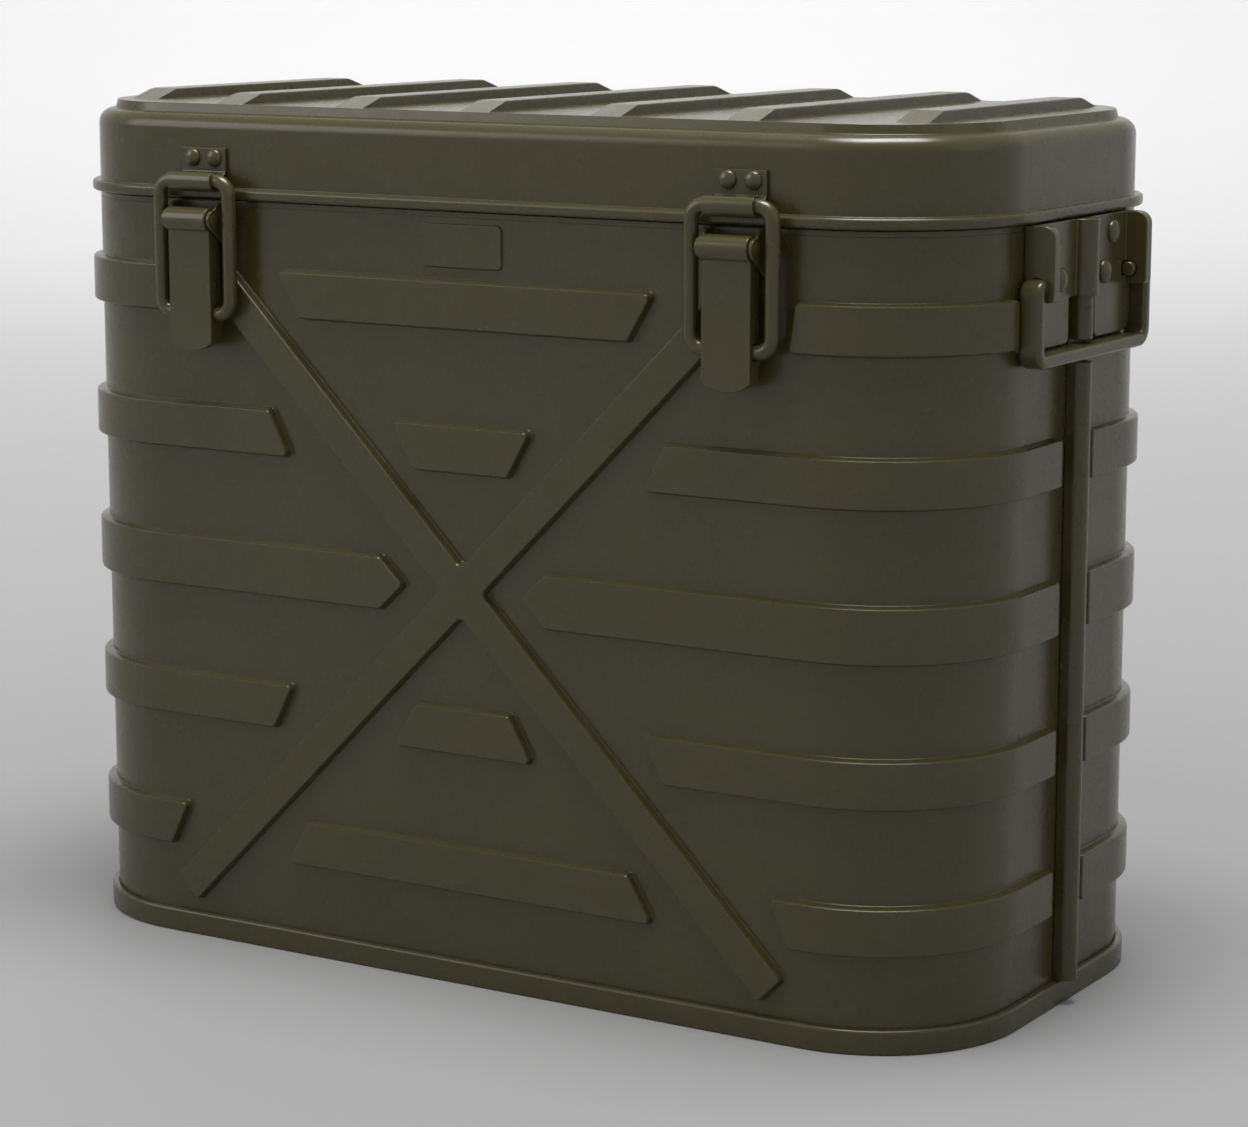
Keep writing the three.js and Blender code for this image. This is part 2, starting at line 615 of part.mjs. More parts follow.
// The wire loop is open at the keeper: its top bar stops beside the hook on both sides.
function loopGeometry() {
  const straightEnd = KEEPER_HALF_WIDTH + 0.7;
  const half = LOOP_HALF_WIDTH;
  const r = LOOP_CORNER;
  const path = [
    [straightEnd, LOOP_TOP],
    ...arc([half - r, LOOP_TOP - r], r, 90, 0, 4),
    ...arc([half - r, LOOP_BOTTOM + r], r, 0, -90, 4),
    ...arc([-half + r, LOOP_BOTTOM + r], r, -90, -180, 4),
    ...arc([-half + r, LOOP_TOP - r], r, 180, 90, 4),
    [-straightEnd, LOOP_TOP],
  ];
  return barAlong(path, circle(WIRE_RADIUS, 8), (x, out, z) => [x, -HALF_DEPTH - LOOP_U - out, z]);
}

function addLatch(wall, side, name) {
  const shift = new THREE.Group();
  shift.position.x = side * LATCH_X;
  wall.add(shift);
  const place = (part, geometry, material) => addPiece(`${part}_${name}`, geometry, material, shift);
  place('keeper', keeperGeometry(), olivePaint());
  KEEPER_RIVETS.forEach(([x, z], i) => {
    place(`keeper_rivet_${i + 1}`, rivetOnFront(x, 2 * GAP + KEEPER_SHEET, z, KEEPER_RIVET), olivePaint());
  });
  place('latch_bracket', latchBracketGeometry(), olivePaint());
  BRACKET_RIVETS.forEach(([x, z], i) => {
    place(`bracket_rivet_${i + 1}`, rivetOnFront(x, 2 * GAP + BRACKET_SHEET, z, BRACKET_RIVET), olivePaint());
  });
  const pinEnd = LEVER_HALF_WIDTH + 0.35 + BRACKET_SHEET + 0.8;
  place('latch_pin', rodAlongX(PIN_RADIUS, -pinEnd, pinEnd, PIVOT_U, PIVOT_Z), olivePaint());
  place('latch_lever', leverGeometry(), olivePaint());
  place('latch_loop', loopGeometry(), olivePaint());
}

// ---- end handles ----
const HANDLE_RIVET = [6.4, 3.6, 3, HANDLE_PLATE - 0.1];

function handleBracketGeometry() {
  const bridgeHalf = (BRIDGE_INNER + BRIDGE_OUTER) / 2;
  const slot = HANDLE_SLOT_HALF;
  const top = HANDLE_TOP;
  const plates = [-1, 1].map((side) => standOutEnd(polygon([
    [side * bridgeHalf, HANDLE_BRIDGE_BOTTOM], [side * slot, HANDLE_BRIDGE_BOTTOM],
    [side * slot, HANDLE_PLATE_BOTTOM + 4], [side * (slot + 4), HANDLE_PLATE_BOTTOM],
    [side * (HANDLE_PLATE_HALF - 8), HANDLE_PLATE_BOTTOM],
    [side * (HANDLE_PLATE_HALF - 2.3), HANDLE_PLATE_BOTTOM + 2.3],
    [side * HANDLE_PLATE_HALF, HANDLE_PLATE_BOTTOM + 8],
    [side * HANDLE_PLATE_HALF, top], [side * bridgeHalf, top],
  ]), GAP, GAP + HANDLE_PLATE));
  const outerArc = arc([0, GAP + HANDLE_PLATE], BRIDGE_OUTER, 0, 180, 8);
  const innerArc = arc([0, GAP + HANDLE_PLATE - 0.4], BRIDGE_INNER, 180, 0, 8);
  const bridge = alongZ(polygon([
    [BRIDGE_OUTER, GAP], ...outerArc, [-BRIDGE_OUTER, GAP],
    [-BRIDGE_INNER, GAP], ...innerArc, [BRIDGE_INNER, GAP],
  ]), HANDLE_BRIDGE_BOTTOM, top);
  const ear = polygon([
    [GAP, EAR_BOTTOM], [EAR_REACH - 3, EAR_BOTTOM], [EAR_REACH, EAR_BOTTOM + 3],
    [EAR_REACH, top - 5], [EAR_REACH - 5, top], [GAP, top],
  ]);
  const outer = HANDLE_PLATE_HALF;
  const ears = [
    alongY(ear, outer - EAR_THICKNESS, outer),
    alongY(ear, -outer, -outer + EAR_THICKNESS),
  ];
  const holes = HANDLE_RIVET_SPOTS.map(([y, z]) => holeInEnd(y, z, HANDLE_RIVET[2] + HOLE_CLEARANCE));
  const bores = [-1, 1].map((side) => {
    const ends = [side * (pinInner() - 1.5), side * (outer + 2)].sort((p, q) => p - q);
    return rodAlongY(HANDLE_PIN_RADIUS + 0.5, ends[0], ends[1], HANDLE_PIVOT_U, HANDLE_PIVOT_Z);
  });
  return combine([...plates, bridge, ...ears], [...holes, ...bores]);
}

const pinInner = () => HANDLE_PLATE_HALF - EAR_THICKNESS - HANDLE_PIN_STUB;

function bailGeometry() {
  const half = BAIL_HALF_WIDTH;
  const r = BAIL_CORNER;
  const top = HANDLE_PIVOT_Z + BAIL_ARM_TOP;
  const path = [
    [-half, top],
    ...arc([-half + r, BAIL_BOTTOM + r], r, 180, 270, 4),
    ...arc([half - r, BAIL_BOTTOM + r], r, 270, 360, 4),
    [half, top],
  ];
  const a = BAIL_THICKNESS / 2;
  const b = BAIL_WIDTH / 2;
  const c = BAIL_CHAMFER;
  const section = [
    [a - c, -b], [a, -b + c], [a, b - c], [a - c, b], [-a + c, b], [-a, b - c], [-a, -b + c], [-a + c, -b],
  ];
  const bar = barAlong(path, section, (y, out, z) => [HALF_LENGTH + HANDLE_PIVOT_U + out, y, z]);
  const pins = [-1, 1].map((side) => {
    const ends = [side * pinInner(), side * half].sort((p, q) => p - q);
    return rodAlongY(HANDLE_PIN_RADIUS, ends[0], ends[1], HANDLE_PIVOT_U, HANDLE_PIVOT_Z);
  });
  return combine([bar, ...pins]);
}

// Half-round strip over the seam, flattened behind the bail's bar.
function stripGeometry() {
  const half = STRIP_HALF_WIDTH;
  const bottom = RING_HEIGHT + GAP;
  const top = SHELL_TOP + 2.9;
  const round = polygon([
    [half, GAP], ...arc([0, GAP + STRIP_PROUD - half], half, 0, 180, 8), [-half, GAP],
  ]);
  const web = polygon([[half, GAP], [half, GAP + STRIP_WEB], [-half, GAP + STRIP_WEB], [-half, GAP]]);
  return combine([
    alongZ(round, bottom, BAIL_BOTTOM - STRIP_RELIEF),
    alongZ(web, bottom, top),
    alongZ(round, BAIL_BOTTOM + STRIP_RELIEF, top),
  ]);
}

function addEnd(end, name) {
  addPiece(`seam_strip_${name}`, stripGeometry(), olivePaint(), end);
  addPiece(`handle_bracket_${name}`, handleBracketGeometry(), olivePaint(), end);
  HANDLE_RIVET_SPOTS.forEach(([y, z], i) => {
    const head = rivetOnEnd(y, 2 * GAP + HANDLE_PLATE, z, HANDLE_RIVET);
    addPiece(`handle_rivet_${name}_${i + 1}`, head, olivePaint(), end);
  });
  addPiece(`handle_bail_${name}`, bailGeometry(), olivePaint(), end);
}

addCan();
addLid();
addLatch(front, 1, 'front_right');
addLatch(front, -1, 'front_left');
addLatch(back, 1, 'back_left');
addLatch(back, -1, 'back_right');
addEnd(rightEnd, 'right');
addEnd(leftEnd, 'left');

export default container;
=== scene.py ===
"""Insulated container with a lift-off lid, four toggle latches and two swinging end handles.

Shapes are worked out in millimetres and placed in metres. A wall's own coordinates are
(side, height, out): side runs to the right as seen from outside, and out is 0 on the sheet.
"""
import json
import math
import bmesh
import bpy
from mathutils import Matrix, Vector
from mathutils.geometry import delaunay_2d_cdt


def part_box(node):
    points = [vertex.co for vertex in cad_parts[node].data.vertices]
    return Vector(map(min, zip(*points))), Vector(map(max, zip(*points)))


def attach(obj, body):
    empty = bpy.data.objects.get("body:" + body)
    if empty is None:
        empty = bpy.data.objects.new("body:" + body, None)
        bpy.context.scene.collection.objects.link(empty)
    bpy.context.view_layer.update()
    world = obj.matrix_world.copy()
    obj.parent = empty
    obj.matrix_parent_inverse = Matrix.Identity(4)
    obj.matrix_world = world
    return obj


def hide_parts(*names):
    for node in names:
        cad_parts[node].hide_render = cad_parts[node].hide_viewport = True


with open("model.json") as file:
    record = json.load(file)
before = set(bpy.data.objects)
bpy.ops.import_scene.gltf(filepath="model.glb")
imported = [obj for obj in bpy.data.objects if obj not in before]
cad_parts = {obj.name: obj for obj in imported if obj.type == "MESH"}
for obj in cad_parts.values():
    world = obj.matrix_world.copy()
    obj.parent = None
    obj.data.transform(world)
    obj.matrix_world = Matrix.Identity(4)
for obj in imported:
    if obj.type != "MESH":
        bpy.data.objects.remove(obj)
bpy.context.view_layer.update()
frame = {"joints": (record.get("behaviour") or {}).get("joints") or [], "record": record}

# ---- sizes taken from the frame ----
MM = 0.001
GAP = 0.3
SHEET = 1.8
JOINTS = {joint["name"]: joint for joint in frame["joints"]}


def corners_in_mm(node):
    """Lowest and highest corner of a CAD node, in millimetres."""
    low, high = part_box(node)
    return [[round(value / MM, 2) for value in corner] for corner in (low, high)]


FOAM_LOW, FOAM_HIGH = corners_in_mm("insulation")
_, RING_HIGH = corners_in_mm("base_ring")
_, CHANNEL_HIGH = corners_in_mm("rim_channel")
LINER_LOW, LINER_HIGH = corners_in_mm("inner_liner")
LID_LOW, LID_HIGH = corners_in_mm("lid_shell")
LID_LINER_LOW, LID_LINER_HIGH = corners_in_mm("lid_liner")
PLUG_LOW, PLUG_HIGH = corners_in_mm("plug_insulation")
LID_FOAM_LOW, LID_FOAM_HIGH = corners_in_mm("lid_insulation")
GASKET_LOW, GASKET_HIGH = corners_in_mm("lid_gasket")
STRIP_LOW, STRIP_HIGH = corners_in_mm("seam_strip_right")
_, KEEPER_HIGH = corners_in_mm("keeper_front_right")
LEVER_LOW, _ = corners_in_mm("latch_lever_front_right")

HALF_LENGTH = FOAM_HIGH[0] + SHEET + GAP  # outer wall face to centre, along X
HALF_DEPTH = FOAM_HIGH[1] + SHEET + GAP  # outer wall face to centre, along Y
SHELL_BOTTOM = FOAM_LOW[2] - SHEET - GAP
SHELL_TOP = FOAM_HIGH[2] + GAP
LATCH_X, LATCH_Y, PIVOT_Z = [v / MM for v in JOINTS["lever_front_right_hinge"]["pos_m"]]
PIVOT_U = -LATCH_Y - HALF_DEPTH
_, LOOP_Y, LOOP_BOTTOM = [v / MM for v in JOINTS["loop_front_right_hinge"]["pos_m"]]
LOOP_U = -LOOP_Y - HALF_DEPTH
HANDLE_X, _, HANDLE_Z = [v / MM for v in JOINTS["handle_right_hinge"]["pos_m"]]
HANDLE_U = HANDLE_X - HALF_LENGTH

# ---- shell ----
CORNER_RADIUS = 80
CORNER_STEPS = 24
STRAIGHT = HALF_LENGTH - CORNER_RADIUS
QUARTER = CORNER_RADIUS * math.pi / 2
HALF_GIRTH = STRAIGHT + QUARTER + HALF_DEPTH - CORNER_RADIUS
COLUMNS = [STRAIGHT + QUARTER * k / CORNER_STEPS for k in range(CORNER_STEPS + 1)]
ARC_STEP = math.radians(15)
MERGE_DISTANCE = 0.002
BEVEL_ANGLE = math.radians(38)
RING_WEB = 2.4  # thickness of the ring's flange under the shell
RING_FLANGE = -8  # inner edge of that flange

# ---- pressed ribs: (inset, out) from the foot fillet over the rounded edge to the flat top ----
RIB = [(-0.6, 0), (-0.25, 0.1), (0.05, 0.5), (0.7, 3.5), (0.95, 4.35), (1.4, 4.9), (2.1, 5.1)]
PAD = [(-0.4, 0), (-0.05, 0.2), (0.15, 0.9), (0.45, 1.35), (1.0, 1.5)]
RIB_CORNER = 3.4
NOTCH_CORNER = 2.6
ROW_PITCH = 77.5
ROW_MIDDLE = 220.3
ROW_HEIGHT = 27
MIDDLE_ROW_HEIGHT = 31
ROW_END_GAP = 18
ROW_END = HALF_GIRTH - ROW_END_GAP
TOP_ROW_WRAP = 115.2
TOP_ROW_END = STRAIGHT + TOP_ROW_WRAP
ROW_END_CORNER = 3
SHOULDER_CORNER = 5
PAD_CORNER = 3
WRAPPED = {1: (203.5, 199.5), 2: (127, 113), 4: (113, 127), 5: (189.5, 202.5)}
CENTRED = {1: (122, 106), 2: (46.5, 31), 4: (31, 46.5), 5: (106, 122)}
MIDDLE_TIP = 37
MIDDLE_SHOULDER = 53.5
CROSS_WIDTH = 21
CROSS_UPPER_REACH = 160
CROSS_LOWER_REACH = 193
PAD_HALF_WIDTH = 26
PAD_BOTTOM = 395
PAD_TOP = 418.5

# ---- lid ----
BEAD_BOTTOM = LID_LOW[2]
BEAD_TOP = BEAD_BOTTOM + 6.1
BEAD_PROUD = LID_HIGH[0] - HALF_LENGTH
RIB_TOP = LID_HIGH[2]
LID_LEDGE = RIB_TOP - 10.5
PLATEAU_TOP = RIB_TOP - 5.5
PLATEAU_INSET = 11
LID_EDGE_RADIUS = 8.5
LID_RIB_WIDTH = 19
LID_RIB_PITCH = 82
LID_RIB_HALF_SPAN = 128.9
LID_RIB_END_HALF_SPAN = 101.6
LID_RIB_RAMP = 18
LID_RIB = [(-0.35, 0), (-0.05, 0.12), (0.1, 0.5), (0.35, 4.6), (0.65, 5.15), (1.3, 5.5)]

# ---- latches ----
WIRE_RADIUS = 4
LOOP_TOP = 435.9
LOOP_HALF_WIDTH = 23.75
LOOP_CORNER = 8
KEEPER_SHEET = 1.7
KEEPER_HALF_WIDTH = 15
KEEPER_TOP = KEEPER_HIGH[2]
KEEPER_CURL = 415  # how far round the bar the hook goes, in degrees
KEEPER_RIVETS = [(-7.4, 448), (7.4, 448)]
BRACKET_SHEET = 2
BRACKET_TOP = 424.3
BRACKET_SHOULDER = 397
BRACKET_FOOT = 391
BRACKET_EAR_ROUND = 5.4
EAR_CLEARANCE = 0.35
BRACKET_RIVETS = [(-6.5, 399), (6.5, 399)]
LEVER_HALF_WIDTH = 14.25
LEVER_FACE_U = 16.9
LEVER_BOTTOM = LEVER_LOW[2]
LEVER_ROUND = 23
ROLL_RADIUS = 6.8
PIN_RADIUS = 2.6
PIN_CLEARANCE = 0.2
HOOK_CLEARANCE = 0.25
WIRE_CLEARANCE = 0.5
RIVET_HOLE = 2.3
FLANGE_U = 7.3  # back edge of the lever's flanges
LOBE_U = 5.6  # back edge beside the loop's lower bar
KEEPER_RIVET = (5, 3, 2)  # head radius, head height, shank radius
BRACKET_RIVET = (4, 2.4, 2)

# ---- end handles ----
HANDLE_TOP = corners_in_mm("handle_bracket_right")[1][2]
PLATE_SHEET = 4.9
PLATE_HALF = 61.8
PLATE_BOTTOM = 360.6
SLOT_HALF = 16.2
BRIDGE_BOTTOM = 384.4
STRIP_HALF = STRIP_HIGH[1]
STRIP_TOP = STRIP_HIGH[0] - HALF_LENGTH
STRIP_WEB = 0.7
STRIP_RELIEF = 6
BRIDGE_OUTER = 8.6
BRIDGE_INNER = 7
EAR_THICKNESS = 7
EAR_BOTTOM = 386
EAR_REACH = 17.4
HANDLE_RIVETS = [(-38, 414.7), (38, 414.7), (-28, 394.6), (28, 394.6)]
BAIL_HALF_WIDTH = 67
BAIL_BOTTOM = 355.6
BAIL_THICKNESS = 7.4
BAIL_WIDTH = 12.8
BAIL_ELBOW = 4
BAIL_CORNER = 6.6
BAIL_PIN_RADIUS = 4
HANDLE_RIVET = (6.4, 3.6, 3)
HANDLE_RIVET_HOLE = 3.3
BAIL_PIN_END = 52


# ---- outlines ----
def rounded(corners, insets=0.0, closed=True):
    """Points through (x, y, radius) corners, with every edge moved to its left by an inset.

    A closed outline runs counter-clockwise, so that its left is inwards. insets is one
    distance, or a list with one for the edge that starts at each corner."""
    count = len(corners)
    each = insets if isinstance(insets, list) else [insets] * count
    edges = []
    for i, (x, y, _) in enumerate(corners):
        next_x, next_y, _ = corners[(i + 1) % count]
        direction = Vector((next_x - x, next_y - y)).normalized()
        left = Vector((-direction.y, direction.x))
        edges.append((Vector((x, y)) + left * each[i], direction, left))
    points = []
    for i, (x, y, radius) in enumerate(corners):
        if not closed and i in (0, count - 1):
            points.append((x, y))
            continue
        before, before_way, before_left = edges[i - 1]
        after, after_way, _ = edges[i]
        cross = before_way.cross(after_way)
        turn = math.atan2(cross, before_way.dot(after_way))
        between = after - before
        corner = before + before_way * (between.cross(after_way) / cross)
        if radius == 0:
            points.append(tuple(corner))
            continue
        side = math.copysign(1, turn)
        r = max(radius - side * each[i - 1], 0.15)
        start = corner - before_way * (r * math.tan(abs(turn) / 2))
        steps = max(2, round(abs(turn) / ARC_STEP))
        for k in range(steps + 1):
            angle = abs(turn) * k / steps
            along = before_way * (r * math.sin(angle))
            across = before_left * (side * r * (1 - math.cos(angle)))
            points.append(tuple(start + along + across))
    return points


def arc(centre, radius, start, end, steps):
    """Points on an arc, angles in degrees, as corners with no radius of their own."""
    angles = [math.radians(start + (end - start) * k / steps) for k in range(steps + 1)]
    return [(centre[0] + radius * math.cos(a), centre[1] + radius * math.sin(a), 0) for a in angles]


def with_cuts(points, cuts):
    """The outline with a point added wherever one of its level edges crosses a cut."""
    made = []
    for i, (x, y) in enumerate(points):
        next_x, next_y = points[(i + 1) % len(points)]
        made.append((x, y))
        if abs(next_y - y) < 1e-3:
            crossed = [c for c in cuts if min(x, next_x) + 0.01 < c < max(x, next_x) - 0.01]
            made.extend((c, y) for c in sorted(crossed, reverse=next_x < x))
    return made


# ---- bodies ----
class Skin:
    """Points and faces of one body, in millimetres."""

    def __init__(self):
        self.points = []
        self.faces = []

    def ring(self, points):
        start = len(self.points)
        self.points.extend(Vector(point) for point in points)
        return list(range(start, len(self.points)))

    def band(self, low, high):
        for j, point in enumerate(low):
            k = (j + 1) % len(low)
            self.faces.append((point, low[k], high[k], high[j]))

    def stack(self, rings, first_cap=True, last_cap=True):
        made = [self.ring(ring) for ring in rings]
        for low, high in zip(made, made[1:]):
            self.band(low, high)
        if first_cap:
            self.faces.append(tuple(reversed(made[0])))
        if last_cap:
            self.faces.append(tuple(made[-1]))
        return made


PLACES = {
    "out": lambda a, b, t: (a, b, t),
    "side": lambda a, b, t: (t, b, a),
    "height": lambda a, b, t: (a, t, b),
}


def prism(corners, start, end, axis="out", ease=0.0):
    """Outline carried along an axis of the wall, with both end edges eased.

    The outline is (side, height) along out, (out, height) along side, (side, out) along height."""
    place = PLACES[axis]
    stages = [(0, start), (0, end)]
    if ease:
        stages = [(ease, start), (0, start + ease), (0, end - ease), (ease, end)]
    skin = Skin()
    skin.stack([[place(a, b, t) for a, b in rounded(corners, inset)] for inset, t in stages])
    return skin


def turned(profile, centre=(0, 0), axis="out", steps=28):
    """Profile of (radius, distance) pairs turned about an axis of the wall."""
    place = PLACES[axis]
    rings = []
    for radius, distance in profile:
        angles = [2 * math.pi * k / steps for k in range(steps)]
        ring = [(centre[0] + radius * math.cos(a), centre[1] + radius * math.sin(a)) for a in angles]
        rings.append([place(a, b, distance) for a, b in ring])
    skin = Skin()
    skin.stack(rings)
    return skin


def rod(radius, start, end, centre, axis, ease=0.0, steps=28):
    """Round bar between two distances, with its end edges rounded over."""
    profile = [(radius, start), (radius, end)]
    if ease:
        turns = [math.radians(90 * k / 4) for k in range(5)]
        nose = [(radius - ease + ease * math.sin(t), start + ease - ease * math.cos(t)) for t in turns]
        tail = [(radius - ease + ease * math.cos(t), end - ease + ease * math.sin(t)) for t in turns]
        profile = nose + tail
    return turned(profile, centre, axis, steps)


def swept(profile, skin=None, closed=False, first_cap=True, last_cap=True):
    """Profile of (offset, z) pairs carried round the container's rounded rectangle."""
    skin = skin or Skin()
    rings = [around(offset, z) for offset, z in profile]
    made = skin.stack(rings, first_cap and not closed, last_cap and not closed)
    if closed:
        skin.band(made[-1], made[0])
    return skin, made


def around(offset, z):
    """Rounded rectangle at a height, moved out from the wall face by offset."""
    half = [on_wall(s, z, offset) for s in [-HALF_GIRTH, *[-c for c in reversed(COLUMNS)], *COLUMNS]]
    return half + [(-x, -y, z) for x, y, z in half]


def on_wall(s, z, out):
    """Point at distance s along the wall from the middle of the front."""
    side = math.copysign(1, s)
    s = abs(s)
    middle = HALF_DEPTH - CORNER_RADIUS
    if s <= STRAIGHT:
        return side * s, -HALF_DEPTH - out, z
    if s >= STRAIGHT + QUARTER:
        return side * (HALF_LENGTH + out), s - STRAIGHT - QUARTER - middle, z
    angle = (s - STRAIGHT) / CORNER_RADIUS
    radius = CORNER_RADIUS + out
    return side * (STRAIGHT + radius * math.sin(angle)), -middle - radius * math.cos(angle), z


def fill_around(border, holes, columns=()):
    """Triangles that fill a border around holes; each column is kept as an edge outside them."""
    points = []
    outlines = []
    for outline in [border, *holes]:
        start = len(points)
        points.extend(Vector(point) for point in outline)
        outlines.append(list(range(start, len(points))))
    edges = []
    for column in columns:
        on_column = [i for i, point in enumerate(points) if abs(point.x - column) < 1e-4]
        on_column.sort(key=lambda i: points[i].y)
        edges.extend(zip(on_column[::2], on_column[1::2]))
    filled = delaunay_2d_cdt(points, edges, outlines, 1, 1e-6)
    kept = [face for face, inside in zip(filled[2], filled[5]) if list(inside) == [0]]
    return filled[0], kept


# ---- meshes ----
def to_mesh(name, skin, sharp=32):
    """Closed mesh in metres with smooth faces, sharp where they meet at more than that angle."""
    mesh = bpy.data.meshes.new(name)
    mesh.from_pydata(skin.points, [], skin.faces)
    tidy_mesh(mesh)
    return finish_mesh(mesh, sharp)


def tidy_mesh(mesh):
    work = bmesh.new()
    work.from_mesh(mesh)
    bmesh.ops.remove_doubles(work, verts=work.verts, dist=MERGE_DISTANCE)
    bmesh.ops.recalc_face_normals(work, faces=work.faces)
    work.to_mesh(mesh)
    work.free()


def finish_mesh(mesh, sharp):
    mesh.transform(Matrix.Scale(MM, 4))
    mesh.shade_smooth()
    mesh.set_sharp_from_angle(angle=math.radians(sharp))
    return mesh


def machined(name, steps, ease=0.4, sharp=32):
    """Mesh of bodies added (+1) and cut (-1) in turn, with its edges eased."""
    made = []
    for _, skin in steps:
        mesh = bpy.data.meshes.new(name)
        mesh.from_pydata(skin.points, [], skin.faces)
        tidy_mesh(mesh)
        made.append(bpy.data.objects.new(name, mesh))
        bpy.context.scene.collection.objects.link(made[-1])
    for (sign, _), body in zip(steps[1:], made[1:]):
        cut = made[0].modifiers.new("cut", "BOOLEAN")
        cut.solver = "EXACT"
        cut.operation = "UNION" if sign > 0 else "DIFFERENCE"
        cut.object = body
    edge = made[0].modifiers.new("edge", "BEVEL")
    edge.width = ease
    edge.segments = 3
    edge.limit_method = "ANGLE"
    edge.angle_limit = BEVEL_ANGLE
    edge.use_clamp_overlap = False
    shaped = made[0].evaluated_get(bpy.context.evaluated_depsgraph_get())
    mesh = bpy.data.meshes.new_from_object(shaped)
    mesh.name = name
    for body in made:
        rough = body.data
        bpy.data.objects.remove(body)
        bpy.data.meshes.remove(rough)
    tidy_mesh(mesh)
    return finish_mesh(mesh, sharp)


# ---- materials ----
def new_material(name):
    material = bpy.data.materials.new(name)
    material.use_nodes = True
    nodes = material.node_tree.nodes
    links = material.node_tree.links
    shader = nodes["Principled BSDF"]
    coordinates = nodes.new("ShaderNodeTexCoord").outputs["Object"]
    return material, nodes, links, shader, coordinates


def noise(nodes, links, coordinates, scale, detail=3.0, stretch=(1, 1, 1)):
    """Noise with a given number of cycles per metre, stretched along an axis if asked."""
    mapping = nodes.new("ShaderNodeMapping")
    mapping.inputs["Scale"].default_value = stretch
    links.new(coordinates, mapping.inputs["Vector"])
    texture = nodes.new("ShaderNodeTexNoise")
    texture.inputs["Scale"].default_value = scale
    texture.inputs["Detail"].default_value = detail
    links.new(mapping.outputs["Vector"], texture.inputs["Vector"])
    return texture.outputs["Fac"]


def spread(nodes, links, value, low, high):
    """The texture's middle range carried to a range of numbers."""
    ranged = nodes.new("ShaderNodeMapRange")
    ranged.inputs["From Min"].default_value = 0.3
    ranged.inputs["From Max"].default_value = 0.7
    ranged.inputs["To Min"].default_value = low
    ranged.inputs["To Max"].default_value = high
    links.new(value, ranged.inputs["Value"])
    return ranged.outputs["Result"]


def mixed(nodes, links, factor, first, second):
    """Colour between two colours by a factor from 0 to 1."""
    mix = nodes.new("ShaderNodeMix")
    mix.data_type = "RGBA"
    links.new(factor, mix.inputs["Factor"])
    mix.inputs[6].default_value = (*first, 1)
    mix.inputs[7].default_value = (*second, 1)
    return mix.outputs[2]


def bumped(nodes, links, shader, height, strength, distance):
    bump = nodes.new("ShaderNodeBump")
    bump.inputs["Strength"].default_value = strength
    bump.inputs["Distance"].default_value = distance
    links.new(height, bump.inputs["Height"])
    links.new(bump.outputs["Normal"], shader.inputs["Normal"])


def olive_paint(name, dark, light, roughness):
    """Sprayed olive paint: faint clouds of tone, fine orange peel and uneven gloss."""
    material, nodes, links, shader, coordinates = new_material(name)
    clouds = spread(nodes, links, noise(nodes, links, coordinates, 11, 4), 0, 1)
    links.new(mixed(nodes, links, clouds, dark, light), shader.inputs["Base Color"])
    patches = noise(nodes, links, coordinates, 60, 5)
    uneven = spread(nodes, links, patches, roughness - 0.035, roughness + 0.035)
    links.new(uneven, shader.inputs["Roughness"])
    peel = noise(nodes, links, coordinates, 900, 2)
    bumped(nodes, links, shader, peel, 0.10, 0.0002)
    shader.inputs["Specular IOR Level"].default_value = 0.5
    return material


def aluminium():
    """Drawn sheet: fine vertical draw lines and a satin, slightly cloudy finish."""
    material, nodes, links, shader, coordinates = new_material("drawn_aluminium")
    clouds = spread(nodes, links, noise(nodes, links, coordinates, 14, 4), 0, 1)
    tone = mixed(nodes, links, clouds, (0.60, 0.61, 0.61), (0.74, 0.75, 0.74))
    links.new(tone, shader.inputs["Base Color"])
    lines = noise(nodes, links, coordinates, 500, 3, (1, 1, 0.03))
    links.new(spread(nodes, links, lines, 0.28, 0.44), shader.inputs["Roughness"])
    bumped(nodes, links, shader, lines, 0.12, 0.0002)
    shader.inputs["Metallic"].default_value = 1.0
    return material


def foam():
    """Rigid closed-cell foam with small cells and a yellowed skin."""
    material, nodes, links, shader, coordinates = new_material("rigid_foam")
    cells = nodes.new("ShaderNodeTexVoronoi")
    cells.inputs["Scale"].default_value = 650
    links.new(coordinates, cells.inputs["Vector"])
    clouds = spread(nodes, links, noise(nodes, links, coordinates, 25, 4), 0, 1)
    tone = mixed(nodes, links, clouds, (0.66, 0.56, 0.34), (0.82, 0.74, 0.52))
    links.new(tone, shader.inputs["Base Color"])
    shader.inputs["Roughness"].default_value = 0.95
    bumped(nodes, links, shader, cells.outputs["Distance"], 0.5, 0.0005)
    return material


def rubber():
    """Moulded gasket rubber, dusty black with a fine grain."""
    material, nodes, links, shader, coordinates = new_material("gasket_rubber")
    dust = spread(nodes, links, noise(nodes, links, coordinates, 90, 5), 0, 1)
    tone = mixed(nodes, links, dust, (0.018, 0.018, 0.017), (0.045, 0.044, 0.042))
    links.new(tone, shader.inputs["Base Color"])
    grain = noise(nodes, links, coordinates, 300, 3)
    links.new(spread(nodes, links, grain, 0.62, 0.8), shader.inputs["Roughness"])
    bumped(nodes, links, shader, noise(nodes, links, coordinates, 1400, 2), 0.3, 0.0002)
    return material


SHEET_PAINT = ((0.044, 0.038, 0.012), (0.049, 0.042, 0.014), 0.27)
HARDWARE_PAINT = ((0.046, 0.040, 0.013), (0.051, 0.044, 0.015), 0.25)
MATERIALS = {
    "body_paint": olive_paint("body_paint", *SHEET_PAINT),
    "lid_paint": olive_paint("lid_paint", *SHEET_PAINT),
    "hardware_paint": olive_paint("hardware_paint", *HARDWARE_PAINT),
    "bare_aluminium": aluminium(),
    "foam": foam(),
    "gasket_rubber": rubber(),
}

